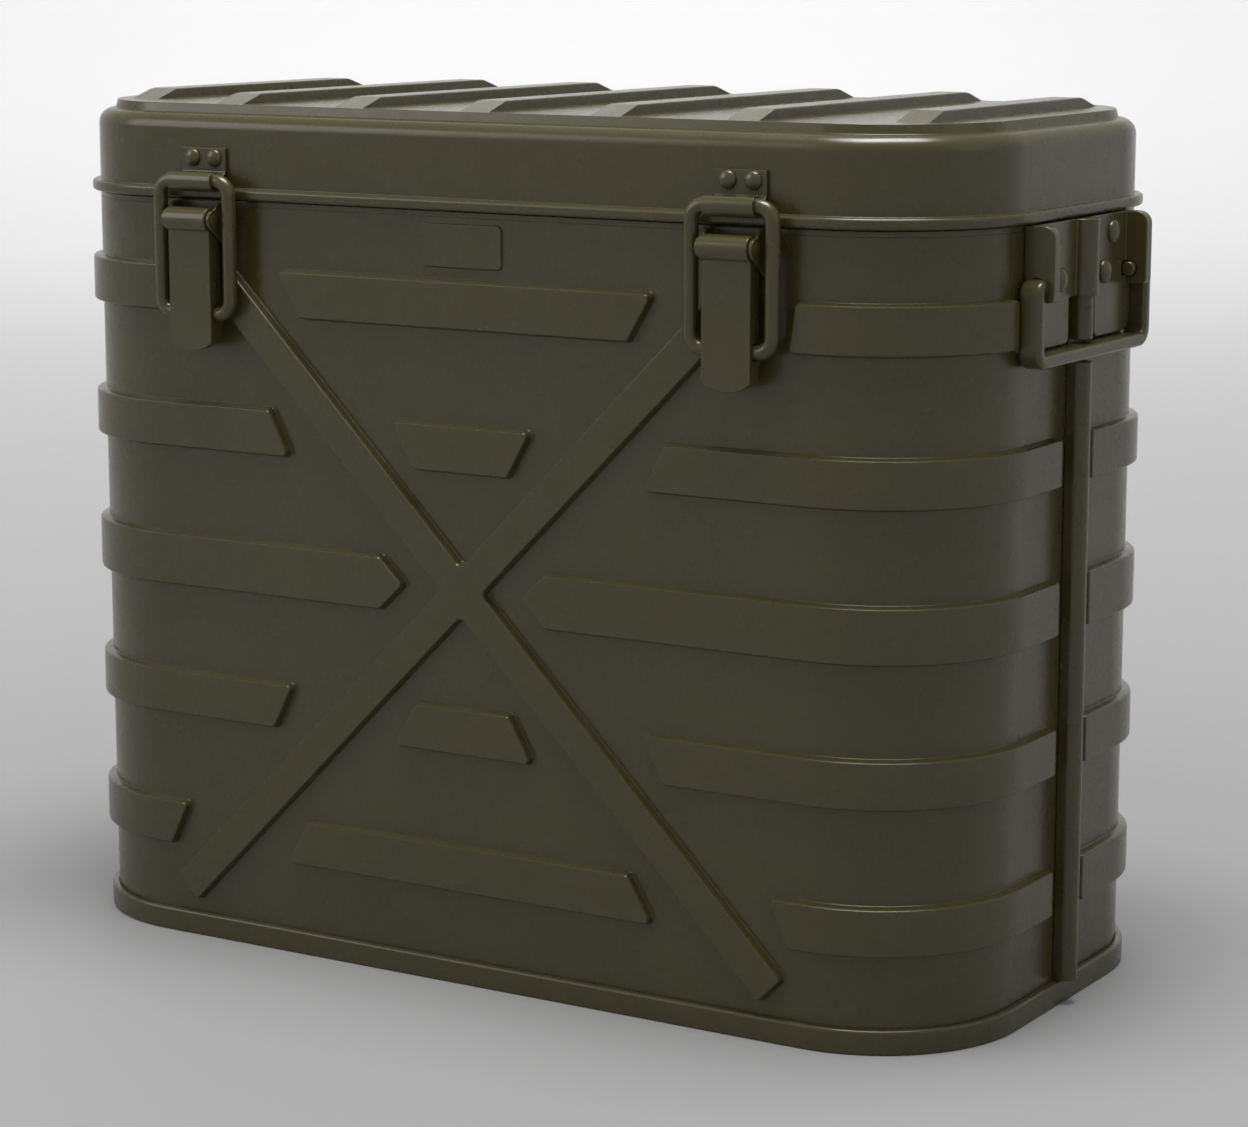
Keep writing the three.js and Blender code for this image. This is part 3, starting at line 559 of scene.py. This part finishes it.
BODY_OF = {}
for body_name, members in frame["record"]["behaviour"]["bodies"].items():
    for member in members:
        BODY_OF[member] = body_name


def add_piece(node, mesh, slot, place=Matrix.Identity(4)):
    """Puts a finished mesh in place of a CAD node, on that node's body."""
    piece = bpy.data.objects.new(node + "_finished", mesh)
    bpy.context.scene.collection.objects.link(piece)
    piece.matrix_world = place
    if not mesh.materials:
        mesh.materials.append(MATERIALS[slot])
    normals = piece.modifiers.new("normals", "WEIGHTED_NORMAL")
    normals.keep_sharp = True
    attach(piece, BODY_OF[node])
    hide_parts(node)
    return piece


def front_wall(side=0.0):
    """Metres on the front wall, from a point of it that lies side to the right."""
    return Matrix(((1, 0, 0, side * MM), (0, 0, -1, -HALF_DEPTH * MM), (0, 1, 0, 0), (0, 0, 0, 1)))


def right_wall():
    """Metres on the right end wall."""
    return Matrix(((0, 0, 1, HALF_LENGTH * MM), (1, 0, 0, 0), (0, 1, 0, 0), (0, 0, 0, 1)))


HALF_TURN = Matrix.Rotation(math.pi, 4, "Z")


# ---- can ----
def row_height(row):
    return ROW_MIDDLE + (3 - row) * ROW_PITCH


def mirrored(corners):
    return [(-x, y, radius) for x, y, radius in reversed(corners)]


def wrapped_row(row):
    """Corners of a row that starts on the front and runs round the right corner."""
    half = (MIDDLE_ROW_HEIGHT if row == 3 else ROW_HEIGHT) / 2
    low, high = row_height(row) - half, row_height(row) + half
    end = TOP_ROW_END if row == 1 else ROW_END
    tail = [(end, low, ROW_END_CORNER), (end, high, ROW_END_CORNER)]
    if row == 3:
        start = [
            (MIDDLE_SHOULDER, high, SHOULDER_CORNER), (MIDDLE_TIP, ROW_MIDDLE, ROW_END_CORNER),
            (MIDDLE_SHOULDER, low, SHOULDER_CORNER),
        ]
    else:
        top, bottom = WRAPPED[row]
        start = [(top, high, RIB_CORNER), (bottom, low, RIB_CORNER)]
    return [start[-1], *tail, *start[:-1]]


def centred_row(row):
    top, bottom = CENTRED[row]
    low, high = row_height(row) - ROW_HEIGHT / 2, row_height(row) + ROW_HEIGHT / 2
    points = [(-bottom, low), (bottom, low), (top, high), (-top, high)]
    return [(x, y, RIB_CORNER) for x, y in points]


def cross_corners():
    """The two crossed bars as one outline, which starts at the right-hand notch."""
    half_bar = CROSS_WIDTH / 2 * math.sqrt(0.5)
    notch = 2 * half_bar
    corners = []
    reaches = [CROSS_UPPER_REACH, CROSS_UPPER_REACH, CROSS_LOWER_REACH, CROSS_LOWER_REACH]
    for turn, reach in enumerate(reaches):
        arm = [(notch, 0, NOTCH_CORNER)]
        arm.append((reach + half_bar, reach - half_bar, RIB_CORNER))
        arm.append((reach - half_bar, reach + half_bar, RIB_CORNER))
        for x, y, radius in arm:
            for _ in range(turn):
                x, y = -y, x
            corners.append((x, y + ROW_MIDDLE, radius))
    return corners


def raised_shapes(with_pad):
    """Every shape that is pressed out of the front half: its corners, profile and cuts."""
    shapes = []
    for row in range(1, 6):
        cuts = [c for c in COLUMNS if c < (TOP_ROW_END - ROW_END_CORNER if row == 1 else ROW_END)]
        shapes.append((wrapped_row(row), RIB, cuts))
        shapes.append((mirrored(wrapped_row(row)), RIB, [-c for c in reversed(cuts)]))
    shapes.extend((centred_row(row), RIB, []) for row in CENTRED)
    shapes.append((cross_corners(), RIB, []))
    if with_pad:
        corners = [(-PAD_HALF_WIDTH, PAD_BOTTOM), (PAD_HALF_WIDTH, PAD_BOTTOM)]
        corners += [(PAD_HALF_WIDTH, PAD_TOP), (-PAD_HALF_WIDTH, PAD_TOP)]
        shapes.append(([(x, y, PAD_CORNER) for x, y in corners], PAD, []))
    return shapes


def cap_in_columns(skin, flat, ring, cuts):
    """Closes a raised shape with one face between each pair of cuts, so that it can bend."""
    def ends(cut):
        found = [i for i, (x, _) in enumerate(flat) if abs(x - cut) < 1e-6]
        return sorted(found, key=lambda i: flat[i][1])

    pairs = [ends(cut) for cut in cuts]
    for (low, high), (next_low, next_high) in zip(pairs, pairs[1:]):
        skin.faces.append((ring[low], ring[next_low], ring[next_high], ring[high]))
    count = len(ring)
    for start, end in [(pairs[0][1], pairs[0][0]), (pairs[-1][0], pairs[-1][1])]:
        span = (end - start) % count
        skin.faces.append(tuple(ring[(start + k) % count] for k in range(span + 1)))


def half_wall(skin, with_pad, turn):
    """The front half of the wall with its raised shapes, turned about Z."""
    def place(flat, out):
        return [turn @ Vector(on_wall(s, z, out)) for s, z in flat]

    shapes = raised_shapes(with_pad)
    columns = [*[-c for c in reversed(COLUMNS)], *COLUMNS]
    border = [(s, SHELL_BOTTOM) for s in [-HALF_GIRTH, *columns, HALF_GIRTH]]
    border += [(s, SHELL_TOP) for s in [HALF_GIRTH, *reversed(columns), -HALF_GIRTH]]
    feet = []
    for corners, profile, cuts in shapes:
        feet.append(with_cuts(rounded(corners, profile[0][0]), cuts))
        rings = [with_cuts(rounded(corners, inset), cuts) for inset, _ in profile]
        raised = [place(flat, out) for flat, (_, out) in zip(rings, profile)]
        made = skin.stack(raised, first_cap=False, last_cap=not cuts)
        if cuts:
            cap_in_columns(skin, rings[-1], made[-1], cuts)
    points, faces = fill_around(border, feet, columns)
    start = len(skin.points)
    skin.points.extend(place(points, 0))
    skin.faces.extend(tuple(start + i for i in face) for face in faces)


def add_can():
    shell = Skin()
    half_wall(shell, True, Matrix.Identity(3))
    half_wall(shell, False, Matrix.Rotation(math.pi, 3, "Z"))
    swept([(0, SHELL_TOP), (-SHEET, SHELL_TOP), (-SHEET, SHELL_BOTTOM + SHEET)], shell, first_cap=False)
    shell.faces.append(tuple(reversed(shell.ring(around(0, SHELL_BOTTOM)))))
    add_piece("outer_shell", to_mesh("outer_shell", shell, 24), "body_paint")

    proud = RING_HIGH[0] - HALF_LENGTH
    top = RING_HIGH[2]
    profile = rounded([
        (RING_FLANGE, 0, 0), (proud, 0, 1.2), (proud, top, 1.8), (GAP, top, 0.3),
        (GAP, RING_WEB, 0), (RING_FLANGE, RING_WEB, 0),
    ])
    ring, _ = swept(profile, closed=True)
    add_piece("base_ring", to_mesh("base_ring", ring), "body_paint")

    wall = LINER_HIGH[0] - HALF_LENGTH
    floor = LINER_LOW[2]
    outside = rounded([(wall, floor, 0), (wall, LINER_HIGH[2], 0)], closed=False)
    inside = rounded([
        (wall - SHEET, LINER_HIGH[2], 0), (wall - SHEET, floor + SHEET, 6),
        (wall - SHEET - 8, floor + SHEET, 0),
    ], closed=False)
    liner, _ = swept(outside + inside)
    add_piece("inner_liner", to_mesh("inner_liner", liner), "bare_aluminium")

    side = FOAM_HIGH[0] - HALF_LENGTH
    cavity = wall + GAP
    block, _ = swept([
        (side, FOAM_LOW[2]), (side, FOAM_HIGH[2]), (cavity, FOAM_HIGH[2]), (cavity, floor - GAP),
    ])
    add_piece("insulation", to_mesh("insulation", block), "foam")

    inner = wall - SHEET
    low, high = SHELL_TOP + 0.1, CHANNEL_HIGH[2]
    profile = rounded([(inner, low, 0.3), (0, low, 0.1), (0, high, 0.5), (inner, high, 1.1)])
    channel, _ = swept(profile, closed=True)
    add_piece("rim_channel", to_mesh("rim_channel", channel), "body_paint")


# ---- lid ----
def lid_profile():
    """Outer face of the lid from its inner lip over the bead and edge to the plateau."""
    return rounded([
        (-SHEET, BEAD_BOTTOM, 0), (BEAD_PROUD, BEAD_BOTTOM, 1.9), (BEAD_PROUD, BEAD_TOP, 1.9),
        (0, BEAD_TOP, 0.7), (0, LID_LEDGE, LID_EDGE_RADIUS), (1.5 - PLATEAU_INSET, LID_LEDGE, 0.5),
        (-PLATEAU_INSET, PLATEAU_TOP, 0.5), (-PLATEAU_INSET - 0.42, PLATEAU_TOP, 0),
    ], closed=False)


def lid_rib_rings(x, half_span):
    """Foot-to-top rings of a rib across the lid, whose ends ramp down to the plateau."""
    half = LID_RIB_WIDTH / 2
    corners = [(x - half, -half_span), (x + half, -half_span)]
    corners += [(x + half, half_span), (x - half, half_span)]
    height = RIB_TOP - PLATEAU_TOP
    rings = []
    for inset, rise in LID_RIB:
        end = inset + rise * LID_RIB_RAMP / height
        flat = rounded([(a, b, 0.5) for a, b in corners], [end, inset, end, inset])
        rings.append([(a, b, PLATEAU_TOP + rise) for a, b in flat])
    return rings


def add_lid():
    inner_lip = rounded([
        (-PLATEAU_INSET - SHEET, PLATEAU_TOP - SHEET, 0), (-PLATEAU_INSET - 0.3, LID_LEDGE - SHEET, 0.5),
        (-SHEET, LID_LEDGE - SHEET, LID_EDGE_RADIUS - SHEET), (-SHEET, BEAD_BOTTOM + 1, 0),
    ], closed=False)
    shell, made = swept(inner_lip + lid_profile(), last_cap=False)
    border = [shell.points[i].xy for i in made[-1]]
    spans = {i: LID_RIB_END_HALF_SPAN if abs(i) == 3 else LID_RIB_HALF_SPAN for i in range(-3, 4)}
    feet = []
    for i, span in spans.items():
        rings = lid_rib_rings(i * LID_RIB_PITCH, span)
        shell.stack(rings, first_cap=False)
        feet.append([(x, y) for x, y, _ in rings[0]])
    points, faces = fill_around(border, feet)
    start = len(shell.points)
    shell.points.extend(Vector((x, y, PLATEAU_TOP)) for x, y in points)
    shell.faces.extend(tuple(start + i for i in face) for face in faces)
    add_piece("lid_shell", to_mesh("lid_shell", shell, 24), "lid_paint")

    plug = PLUG_HIGH[0] - HALF_LENGTH + SHEET + GAP
    flange = LID_LINER_HIGH[0] - HALF_LENGTH
    bottom = LID_LINER_LOW[2]
    top = LID_LINER_HIGH[2]
    profile = rounded([
        (plug - 8, bottom, 0), (plug, bottom, 5), (plug, top - SHEET, 1.5), (flange, top - SHEET, 0),
        (flange, top, 0), (plug - SHEET, top, 0.5), (plug - SHEET, bottom + SHEET, 3),
        (plug - 9, bottom + SHEET, 0),
    ], closed=False)
    liner, _ = swept(profile)
    add_piece("lid_liner", to_mesh("lid_liner", liner), "bare_aluminium")

    side = PLUG_HIGH[0] - HALF_LENGTH
    block, _ = swept(rounded([
        (side - 6, PLUG_LOW[2], 0), (side, PLUG_LOW[2], 3.4), (side, PLUG_HIGH[2], 0),
    ], closed=False))
    add_piece("plug_insulation", to_mesh("plug_insulation", block), "foam")

    side = LID_FOAM_HIGH[0] - HALF_LENGTH
    block, _ = swept(rounded([
        (side, LID_FOAM_LOW[2], 0), (side, LID_FOAM_HIGH[2], 6.5), (side - 9, LID_FOAM_HIGH[2], 0),
    ], closed=False))
    add_piece("lid_insulation", to_mesh("lid_insulation", block), "foam")

    outer = GASKET_HIGH[0] - HALF_LENGTH
    inner = outer - 25
    low, high = GASKET_LOW[2], GASKET_HIGH[2]
    gasket, _ = swept(rounded([
        (inner, low, 1.6), (outer, low, 1.6), (outer, high, 0.4), (inner, high, 0.4),
    ]), closed=True)
    add_piece("lid_gasket", to_mesh("lid_gasket", gasket), "gasket_rubber")


# ---- fasteners ----
def domed_rivet(head_radius, head_height, shank_radius, shank_length):
    """Round-headed rivet whose head sits at out 0, with its shank below."""
    turns = [math.radians(88 * k / 9) for k in range(10)]
    profile = [(shank_radius, -shank_length), (shank_radius, 0), (head_radius, 0)]
    profile += [(head_radius * math.cos(t), 0.35 + (head_height - 0.35) * math.sin(t)) for t in turns]
    return turned(profile)


def add_rivets(name, mesh, spots, sheet, wall, slot="hardware_paint"):
    for i, (side, height) in enumerate(spots):
        spot = Matrix.Translation(Vector((side, height, GAP + sheet)) * MM)
        add_piece(name.format(i + 1), mesh, slot, wall @ spot)


# ---- toggle latches ----
def keeper_mesh():
    """Plate on the lid whose lower part is bent out and up round the loop's top bar."""
    half = KEEPER_SHEET / 2
    back = GAP + half
    hook = WIRE_RADIUS + HOOK_CLEARANCE + half
    centre = (LOOP_U, LOOP_TOP)
    inner = hook - half
    outer = hook + half
    wall_side = [
        (GAP, KEEPER_TOP, 0.4), (GAP, 441.2, 1.5), (LOOP_U - outer, 437.8, 1.5),
        *arc(centre, outer, 180, KEEPER_CURL, 30),
    ]
    bar_side = [
        *arc(centre, inner, KEEPER_CURL, 180, 30), (LOOP_U - inner, 437.0, 1.5),
        (back + half, 440.4, 1.5), (back + half, KEEPER_TOP, 0.4),
    ]
    steps = [(1, prism([*wall_side, *bar_side], -KEEPER_HALF_WIDTH, KEEPER_HALF_WIDTH, "side"))]
    steps += [(-1, rod(RIVET_HOLE, -5, 6, spot, "out")) for spot in KEEPER_RIVETS]
    return machined("keeper", steps, 0.3, 30)


def bracket_mesh():
    """Plate on the can with an ear on each side that carries the lever's pin."""
    ear_inside = LEVER_HALF_WIDTH + EAR_CLEARANCE
    half = ear_inside + BRACKET_SHEET
    top = BRACKET_TOP
    plate = [(-half + 6, BRACKET_FOOT, 1), (half - 6, BRACKET_FOOT, 1), (half, BRACKET_SHOULDER, 1)]
    plate += [(half, top, 0), (-half, top, 0), (-half, BRACKET_SHOULDER, 1)]
    ear = [
        (GAP, BRACKET_SHOULDER, 0.5), *arc((PIVOT_U, PIVOT_Z), BRACKET_EAR_ROUND, -58, 92, 16),
        (10, top, 3), (GAP, top, 0),
    ]
    steps = [(1, prism(plate, GAP, GAP + BRACKET_SHEET))]
    steps += [(1, prism(ear, *sorted((s * ear_inside, s * half)), "side")) for s in (-1, 1)]
    steps += [(-1, rod(RIVET_HOLE, -5, 8, spot, "out")) for spot in BRACKET_RIVETS]
    steps.append((-1, rod(PIN_RADIUS + PIN_CLEARANCE, -half - 2, half + 2, (PIVOT_U, PIVOT_Z), "side")))
    return machined("latch_bracket", steps, 0.35)


def lever_mesh():
    """Pressed lever: a shallow tub with a round end, pivot lobes and a rolled top."""
    half = LEVER_HALF_WIDTH
    spread_angle = math.degrees(math.asin(half / LEVER_ROUND))
    centre = (0, LEVER_BOTTOM + LEVER_ROUND)
    round_end = arc(centre, LEVER_ROUND, -90 - spread_angle, -90 + spread_angle, 14)
    face = [*round_end, (half, PIVOT_Z - 3, 0), (-half, PIVOT_Z - 3, 0)]
    past_roll = PIVOT_Z + 9
    inner = LEVER_ROUND - SHEET
    inner_half = half - SHEET
    spread_angle = math.degrees(math.asin(inner_half / inner))
    round_end = arc(centre, inner, -90 - spread_angle, -90 + spread_angle, 14)
    hollow = [*round_end, (inner_half, past_roll, 0), (-inner_half, past_roll, 0)]
    behind = [
        (0, 330, 0), (10.5, 330, 0), (10.5, 344, 0), (FLANGE_U, 348, 2),
        (FLANGE_U, LOOP_BOTTOM - 8.5, 1.5), (LOBE_U, LOOP_BOTTOM - 6, 2), (LOBE_U, LOOP_BOTTOM + 6, 2),
        (FLANGE_U, LOOP_BOTTOM + 8.5, 1.5), (FLANGE_U, 402, 3), (11, 409, 0),
        (11, past_roll, 0), (0, past_roll, 0),
    ]
    pivot = (PIVOT_U, PIVOT_Z)
    steps = [
        (1, prism(face, LOBE_U, LEVER_FACE_U)),
        (-1, prism(hollow, 0, LEVER_FACE_U - SHEET)),
        (-1, prism(behind, -half - 2, half + 2, "side")),
        (1, rod(ROLL_RADIUS, -half, half, pivot, "side", steps=40)),
        (-1, rod(PIN_RADIUS + PIN_CLEARANCE, -half - 2, half + 2, pivot, "side")),
        (-1, rod(WIRE_RADIUS + WIRE_CLEARANCE, -half - 2, half + 2, (LOOP_U, LOOP_BOTTOM), "side")),
    ]
    return machined("latch_lever", steps, 0.5)


def loop_mesh():
    """Closed wire loop, bent from round bar."""
    half = LOOP_HALF_WIDTH
    path = rounded([
        (-half, LOOP_BOTTOM, LOOP_CORNER), (half, LOOP_BOTTOM, LOOP_CORNER),
        (half, LOOP_TOP, LOOP_CORNER), (-half, LOOP_TOP, LOOP_CORNER),
    ])
    skin = Skin()
    rings = []
    for i, (x, z) in enumerate(path):
        after = Vector(path[(i + 1) % len(path)]) - Vector((x, z))
        before = Vector((x, z)) - Vector(path[i - 1])
        way = (before.normalized() + after.normalized()).normalized()
        ring = []
        for k in range(24):
            angle = 2 * math.pi * k / 24
            across = WIRE_RADIUS * math.cos(angle)
            out = LOOP_U + WIRE_RADIUS * math.sin(angle)
            ring.append((x + way.y * across, z - way.x * across, out))
        rings.append(ring)
    made = skin.stack(rings, False, False)
    skin.band(made[-1], made[0])
    return to_mesh("latch_loop", skin, 60)


def pin_mesh():
    """Pivot pin with a thin domed head outside each ear."""
    ear = LEVER_HALF_WIDTH + EAR_CLEARANCE + BRACKET_SHEET
    end = ear + 0.6
    head = [(PIN_RADIUS + 0.3, ear + 0.05), (PIN_RADIUS + 1, ear + 0.1), (PIN_RADIUS + 1, ear + 0.3)]
    head += [(PIN_RADIUS + 0.4, end - 0.12), (PIN_RADIUS - 0.8, end)]
    left = [(radius, -along) for radius, along in reversed(head)]
    profile = [*left, (PIN_RADIUS, -ear), (PIN_RADIUS, ear), *head]
    return to_mesh("latch_pin", turned(profile, (PIVOT_U, PIVOT_Z), "side"))


def add_latches():
    keeper = keeper_mesh()
    bracket = bracket_mesh()
    lever = lever_mesh()
    loop = loop_mesh()
    pin = pin_mesh()
    keeper_rivet = to_mesh("keeper_rivet", domed_rivet(*KEEPER_RIVET, KEEPER_SHEET))
    bracket_rivet = to_mesh("bracket_rivet", domed_rivet(*BRACKET_RIVET, BRACKET_SHEET))
    places = {
        "front_right": front_wall(LATCH_X), "front_left": front_wall(-LATCH_X),
        "back_left": HALF_TURN @ front_wall(LATCH_X), "back_right": HALF_TURN @ front_wall(-LATCH_X),
    }
    for name, wall in places.items():
        add_piece("keeper_" + name, keeper, "hardware_paint", wall)
        add_piece("latch_bracket_" + name, bracket, "hardware_paint", wall)
        add_piece("latch_lever_" + name, lever, "hardware_paint", wall)
        add_piece("latch_loop_" + name, loop, "hardware_paint", wall)
        add_piece("latch_pin_" + name, pin, "hardware_paint", wall)
        add_rivets("keeper_rivet_{}_" + name, keeper_rivet, KEEPER_RIVETS, KEEPER_SHEET, wall)
        add_rivets("bracket_rivet_{}_" + name, bracket_rivet, BRACKET_RIVETS, BRACKET_SHEET, wall)


# ---- end handles ----
def arched(half, foot, top):
    """Upright sides under a half circle, as (side, out) corners."""
    return [(half, foot, 0), *arc((0, top - half), half, 0, 180, 24), (-half, foot, 0)]


def strip_mesh():
    """Half-round strip over the seam, flattened behind the bail's bar."""
    bottom, top = STRIP_LOW[2], STRIP_HIGH[2]
    low, high = BAIL_BOTTOM - STRIP_RELIEF, BAIL_BOTTOM + STRIP_RELIEF
    side = STRIP_HALF + 1
    relief = [(-side, low, 0), (side, low, 0), (side, high, 0), (-side, high, 0)]
    steps = [
        (1, prism(arched(STRIP_HALF, GAP, STRIP_TOP), bottom, top, "height")),
        (-1, prism(relief, GAP + STRIP_WEB, STRIP_TOP + 1)),
    ]
    return machined("seam_strip", steps, 0.3)


def handle_bracket_mesh():
    """Plate with a half-round channel over the strip, and a thick ear on each side."""
    top = HANDLE_TOP
    half = PLATE_HALF
    plate = [
        (-half, PLATE_BOTTOM, 8), (-SLOT_HALF, PLATE_BOTTOM, 4), (-SLOT_HALF, BRIDGE_BOTTOM, 1),
        (SLOT_HALF, BRIDGE_BOTTOM, 1), (SLOT_HALF, PLATE_BOTTOM, 4), (half, PLATE_BOTTOM, 8),
        (half, top, 0), (-half, top, 0),
    ]
    crown = arched(BRIDGE_OUTER, GAP + 1, GAP + PLATE_SHEET + BRIDGE_OUTER)
    channel = arched(BRIDGE_INNER, -1, GAP + PLATE_SHEET - 0.4 + BRIDGE_INNER)
    ear = [
        (GAP + 1, EAR_BOTTOM, 0), (EAR_REACH, EAR_BOTTOM, 3), (EAR_REACH, top, 6.5), (GAP + 1, top, 0),
    ]
    steps = [(1, prism(plate, GAP, GAP + PLATE_SHEET)), (1, prism(crown, BRIDGE_BOTTOM, top, "height"))]
    steps.append((-1, prism(channel, PLATE_BOTTOM - 1, top + 1, "height")))
    ears = [(half - EAR_THICKNESS, half), (-half, -half + EAR_THICKNESS)]
    steps += [(1, prism(ear, *ends, "side")) for ends in ears]
    steps += [(-1, rod(HANDLE_RIVET_HOLE, -5, 8, spot, "out")) for spot in HANDLE_RIVETS]
    bore = (BAIL_PIN_END - 1.5, half + 2)
    for start, end in (bore, (-bore[1], -bore[0])):
        steps.append((-1, rod(BAIL_PIN_RADIUS + 0.3, start, end, (HANDLE_U, HANDLE_Z), "side")))
    return machined("handle_bracket", steps, 0.6)


def bail_mesh():
    """Swinging handle: a flat-sided bar whose arms turn inwards as round pins."""
    half = BAIL_HALF_WIDTH
    pin = (BAIL_PIN_RADIUS, BAIL_PIN_RADIUS, BAIL_PIN_RADIUS - 0.05)
    bar = (BAIL_THICKNESS / 2, BAIL_WIDTH / 2, 2.6)
    elbow = arc((half - BAIL_ELBOW, HANDLE_Z - BAIL_ELBOW), BAIL_ELBOW, 90, 0, 6)
    foot = arc((half - BAIL_CORNER, BAIL_BOTTOM + BAIL_CORNER), BAIL_CORNER, 0, -90, 7)
    stations = [
        ((BAIL_PIN_END, HANDLE_Z), (2.8, 2.8, 2.75)), ((BAIL_PIN_END + 0.5, HANDLE_Z), (3.6, 3.6, 3.55)),
        ((BAIL_PIN_END + 1.4, HANDLE_Z), pin), ((PLATE_HALF + 0.6, HANDLE_Z), pin),
        ((PLATE_HALF + 0.9, HANDLE_Z), (3.8, 5.9, 2.8)),
    ]
    stations += [((y, z), bar) for y, z, _ in [*elbow, *foot]]
    stations += [((-y, z), section) for (y, z), section in reversed(stations)]
    skin = Skin()
    rings = []
    for i, (point, (a, b, r)) in enumerate(stations):
        before = Vector(stations[max(i - 1, 0)][0])
        after = Vector(stations[min(i + 1, len(stations) - 1)][0])
        way = (after - before).normalized()
        corners = [(-a, -b, r), (a, -b, r), (a, b, r), (-a, b, r)]
        ring = [(point[0] - way.y * p, point[1] + way.x * p, HANDLE_U + q) for p, q in rounded(corners)]
        rings.append(ring)
    skin.stack(rings)
    return to_mesh("handle_bail", skin, 40)


def add_ends():
    strip = strip_mesh()
    bracket = handle_bracket_mesh()
    bail = bail_mesh()
    rivet = to_mesh("handle_rivet", domed_rivet(*HANDLE_RIVET, PLATE_SHEET))
    for name, wall in {"right": right_wall(), "left": HALF_TURN @ right_wall()}.items():
        add_piece("seam_strip_" + name, strip, "body_paint", wall)
        add_piece("handle_bracket_" + name, bracket, "hardware_paint", wall)
        add_piece("handle_bail_" + name, bail, "hardware_paint", wall)
        add_rivets("handle_rivet_" + name + "_{}", rivet, HANDLE_RIVETS, PLATE_SHEET, wall)


# ---- studio ----
# painted shade: the floor's tone near the middle, darker than the pale tone further out, in place of the
# lamps' falloff
FLOOR_PAINTED_SHADE = (0.27,) * 3
BACKDROP_TONE = (0.88,) * 3
WORLD_STRENGTH = 0.42
MIDDLE = (0, 0, 0.25)
LIGHTS = [  # name, place, target, size, power
    ("overhead", (0.2, -0.2, 3.0), MIDDLE, (1.6, 1.2), 105),
    ("left_fill", (-2.6, -2.2, 1.8), MIDDLE, (2.0, 2.0), 30),
    ("right_side", (3.2, 0.2, 1.6), MIDDLE, (1.5, 2.0), 3),
    ("lid_glint", (-1.6, 1.8, 2.2), (0, 0, 0.48), (1.2, 1.0), 3.5),
    ("backdrop", (-1.9, 3.0, 2.6), (-2.7, 4.5, 0.3), (3.0, 1.0), 38),
]
CAMERA_PLACE = (1.0281, -1.6462, 0.5682)
CAMERA_PITCH = 0.1807
CAMERA_YAW = 0.5520
CAMERA_LENS = 98.9


def add_stage():
    """Floor that curves up into a round backdrop, with painted shade in its colour: dark near the middle
    and pale further out, standing in for the lamps' falloff.
    """
    radius, height, bend = 6.0, 5.0, 2.0
    profile = [(0.0, 0.0), (radius - bend, 0.0)]
    for k in range(1, 13):
        angle = math.radians(90 * k / 12)
        profile.append((radius - bend + bend * math.sin(angle), bend - bend * math.cos(angle)))
    profile.append((radius, height))
    steps = 96
    mesh = bpy.data.meshes.new("studio")
    points = [(0, 0, 0)]
    faces = []
    for r, z in profile[1:]:
        for k in range(steps):
            angle = 2 * math.pi * k / steps
            points.append((r * math.cos(angle), r * math.sin(angle), z))
    for k in range(steps):
        faces.append((0, 1 + k, 1 + (k + 1) % steps))
    for i in range(len(profile) - 2):
        for k in range(steps):
            low = 1 + i * steps
            after = (k + 1) % steps
            faces.append((low + k, low + steps + k, low + steps + after, low + after))
    mesh.from_pydata(points, [], faces)
    mesh.shade_smooth()
    studio = bpy.data.objects.new("studio", mesh)
    bpy.context.scene.collection.objects.link(studio)
    material, nodes, links, shader, coordinates = new_material("floor_with_painted_falloff")
    distance = nodes.new("ShaderNodeVectorMath")
    distance.operation = "LENGTH"
    links.new(coordinates, distance.inputs[0])
    # painted shade: the floor's colour grows paler with distance from the middle, standing in for light
    # falling off
    painted_falloff = nodes.new("ShaderNodeMapRange")
    painted_falloff.inputs["From Min"].default_value = 0.5
    painted_falloff.inputs["From Max"].default_value = radius - 1
    links.new(distance.outputs["Value"], painted_falloff.inputs["Value"])
    tone = mixed(nodes, links, painted_falloff.outputs["Result"], FLOOR_PAINTED_SHADE, BACKDROP_TONE)
    links.new(tone, shader.inputs["Base Color"])
    shader.inputs["Roughness"].default_value = 0.7
    mesh.materials.append(material)


def add_light(name, place, target, size, power):
    light = bpy.data.lights.new(name, "AREA")
    light.shape = "RECTANGLE"
    light.size, light.size_y = size
    light.energy = power
    lamp = bpy.data.objects.new(name, light)
    bpy.context.scene.collection.objects.link(lamp)
    lamp.location = place
    lamp.rotation_euler = (Vector(target) - Vector(place)).to_track_quat("-Z", "Y").to_euler()


def add_lights():
    for light in LIGHTS:
        add_light(*light)
    world = bpy.data.worlds.new("studio_air")
    world.use_nodes = True
    world.node_tree.nodes["Background"].inputs["Color"].default_value = (1, 1, 1, 1)
    world.node_tree.nodes["Background"].inputs["Strength"].default_value = WORLD_STRENGTH
    bpy.context.scene.world = world


def add_camera():
    camera = bpy.data.cameras.new("camera")
    camera.sensor_width = 36
    camera.lens = CAMERA_LENS
    camera.clip_start = 0.05
    camera.clip_end = 50
    holder = bpy.data.objects.new("camera", camera)
    bpy.context.scene.collection.objects.link(holder)
    holder.location = CAMERA_PLACE
    holder.rotation_euler = (math.pi / 2 - CAMERA_PITCH, 0, CAMERA_YAW)
    bpy.context.scene.camera = holder


add_camera()
add_can()
add_lid()
add_latches()
add_ends()
add_stage()
add_lights()
bpy.context.scene.view_settings.view_transform = "Standard"
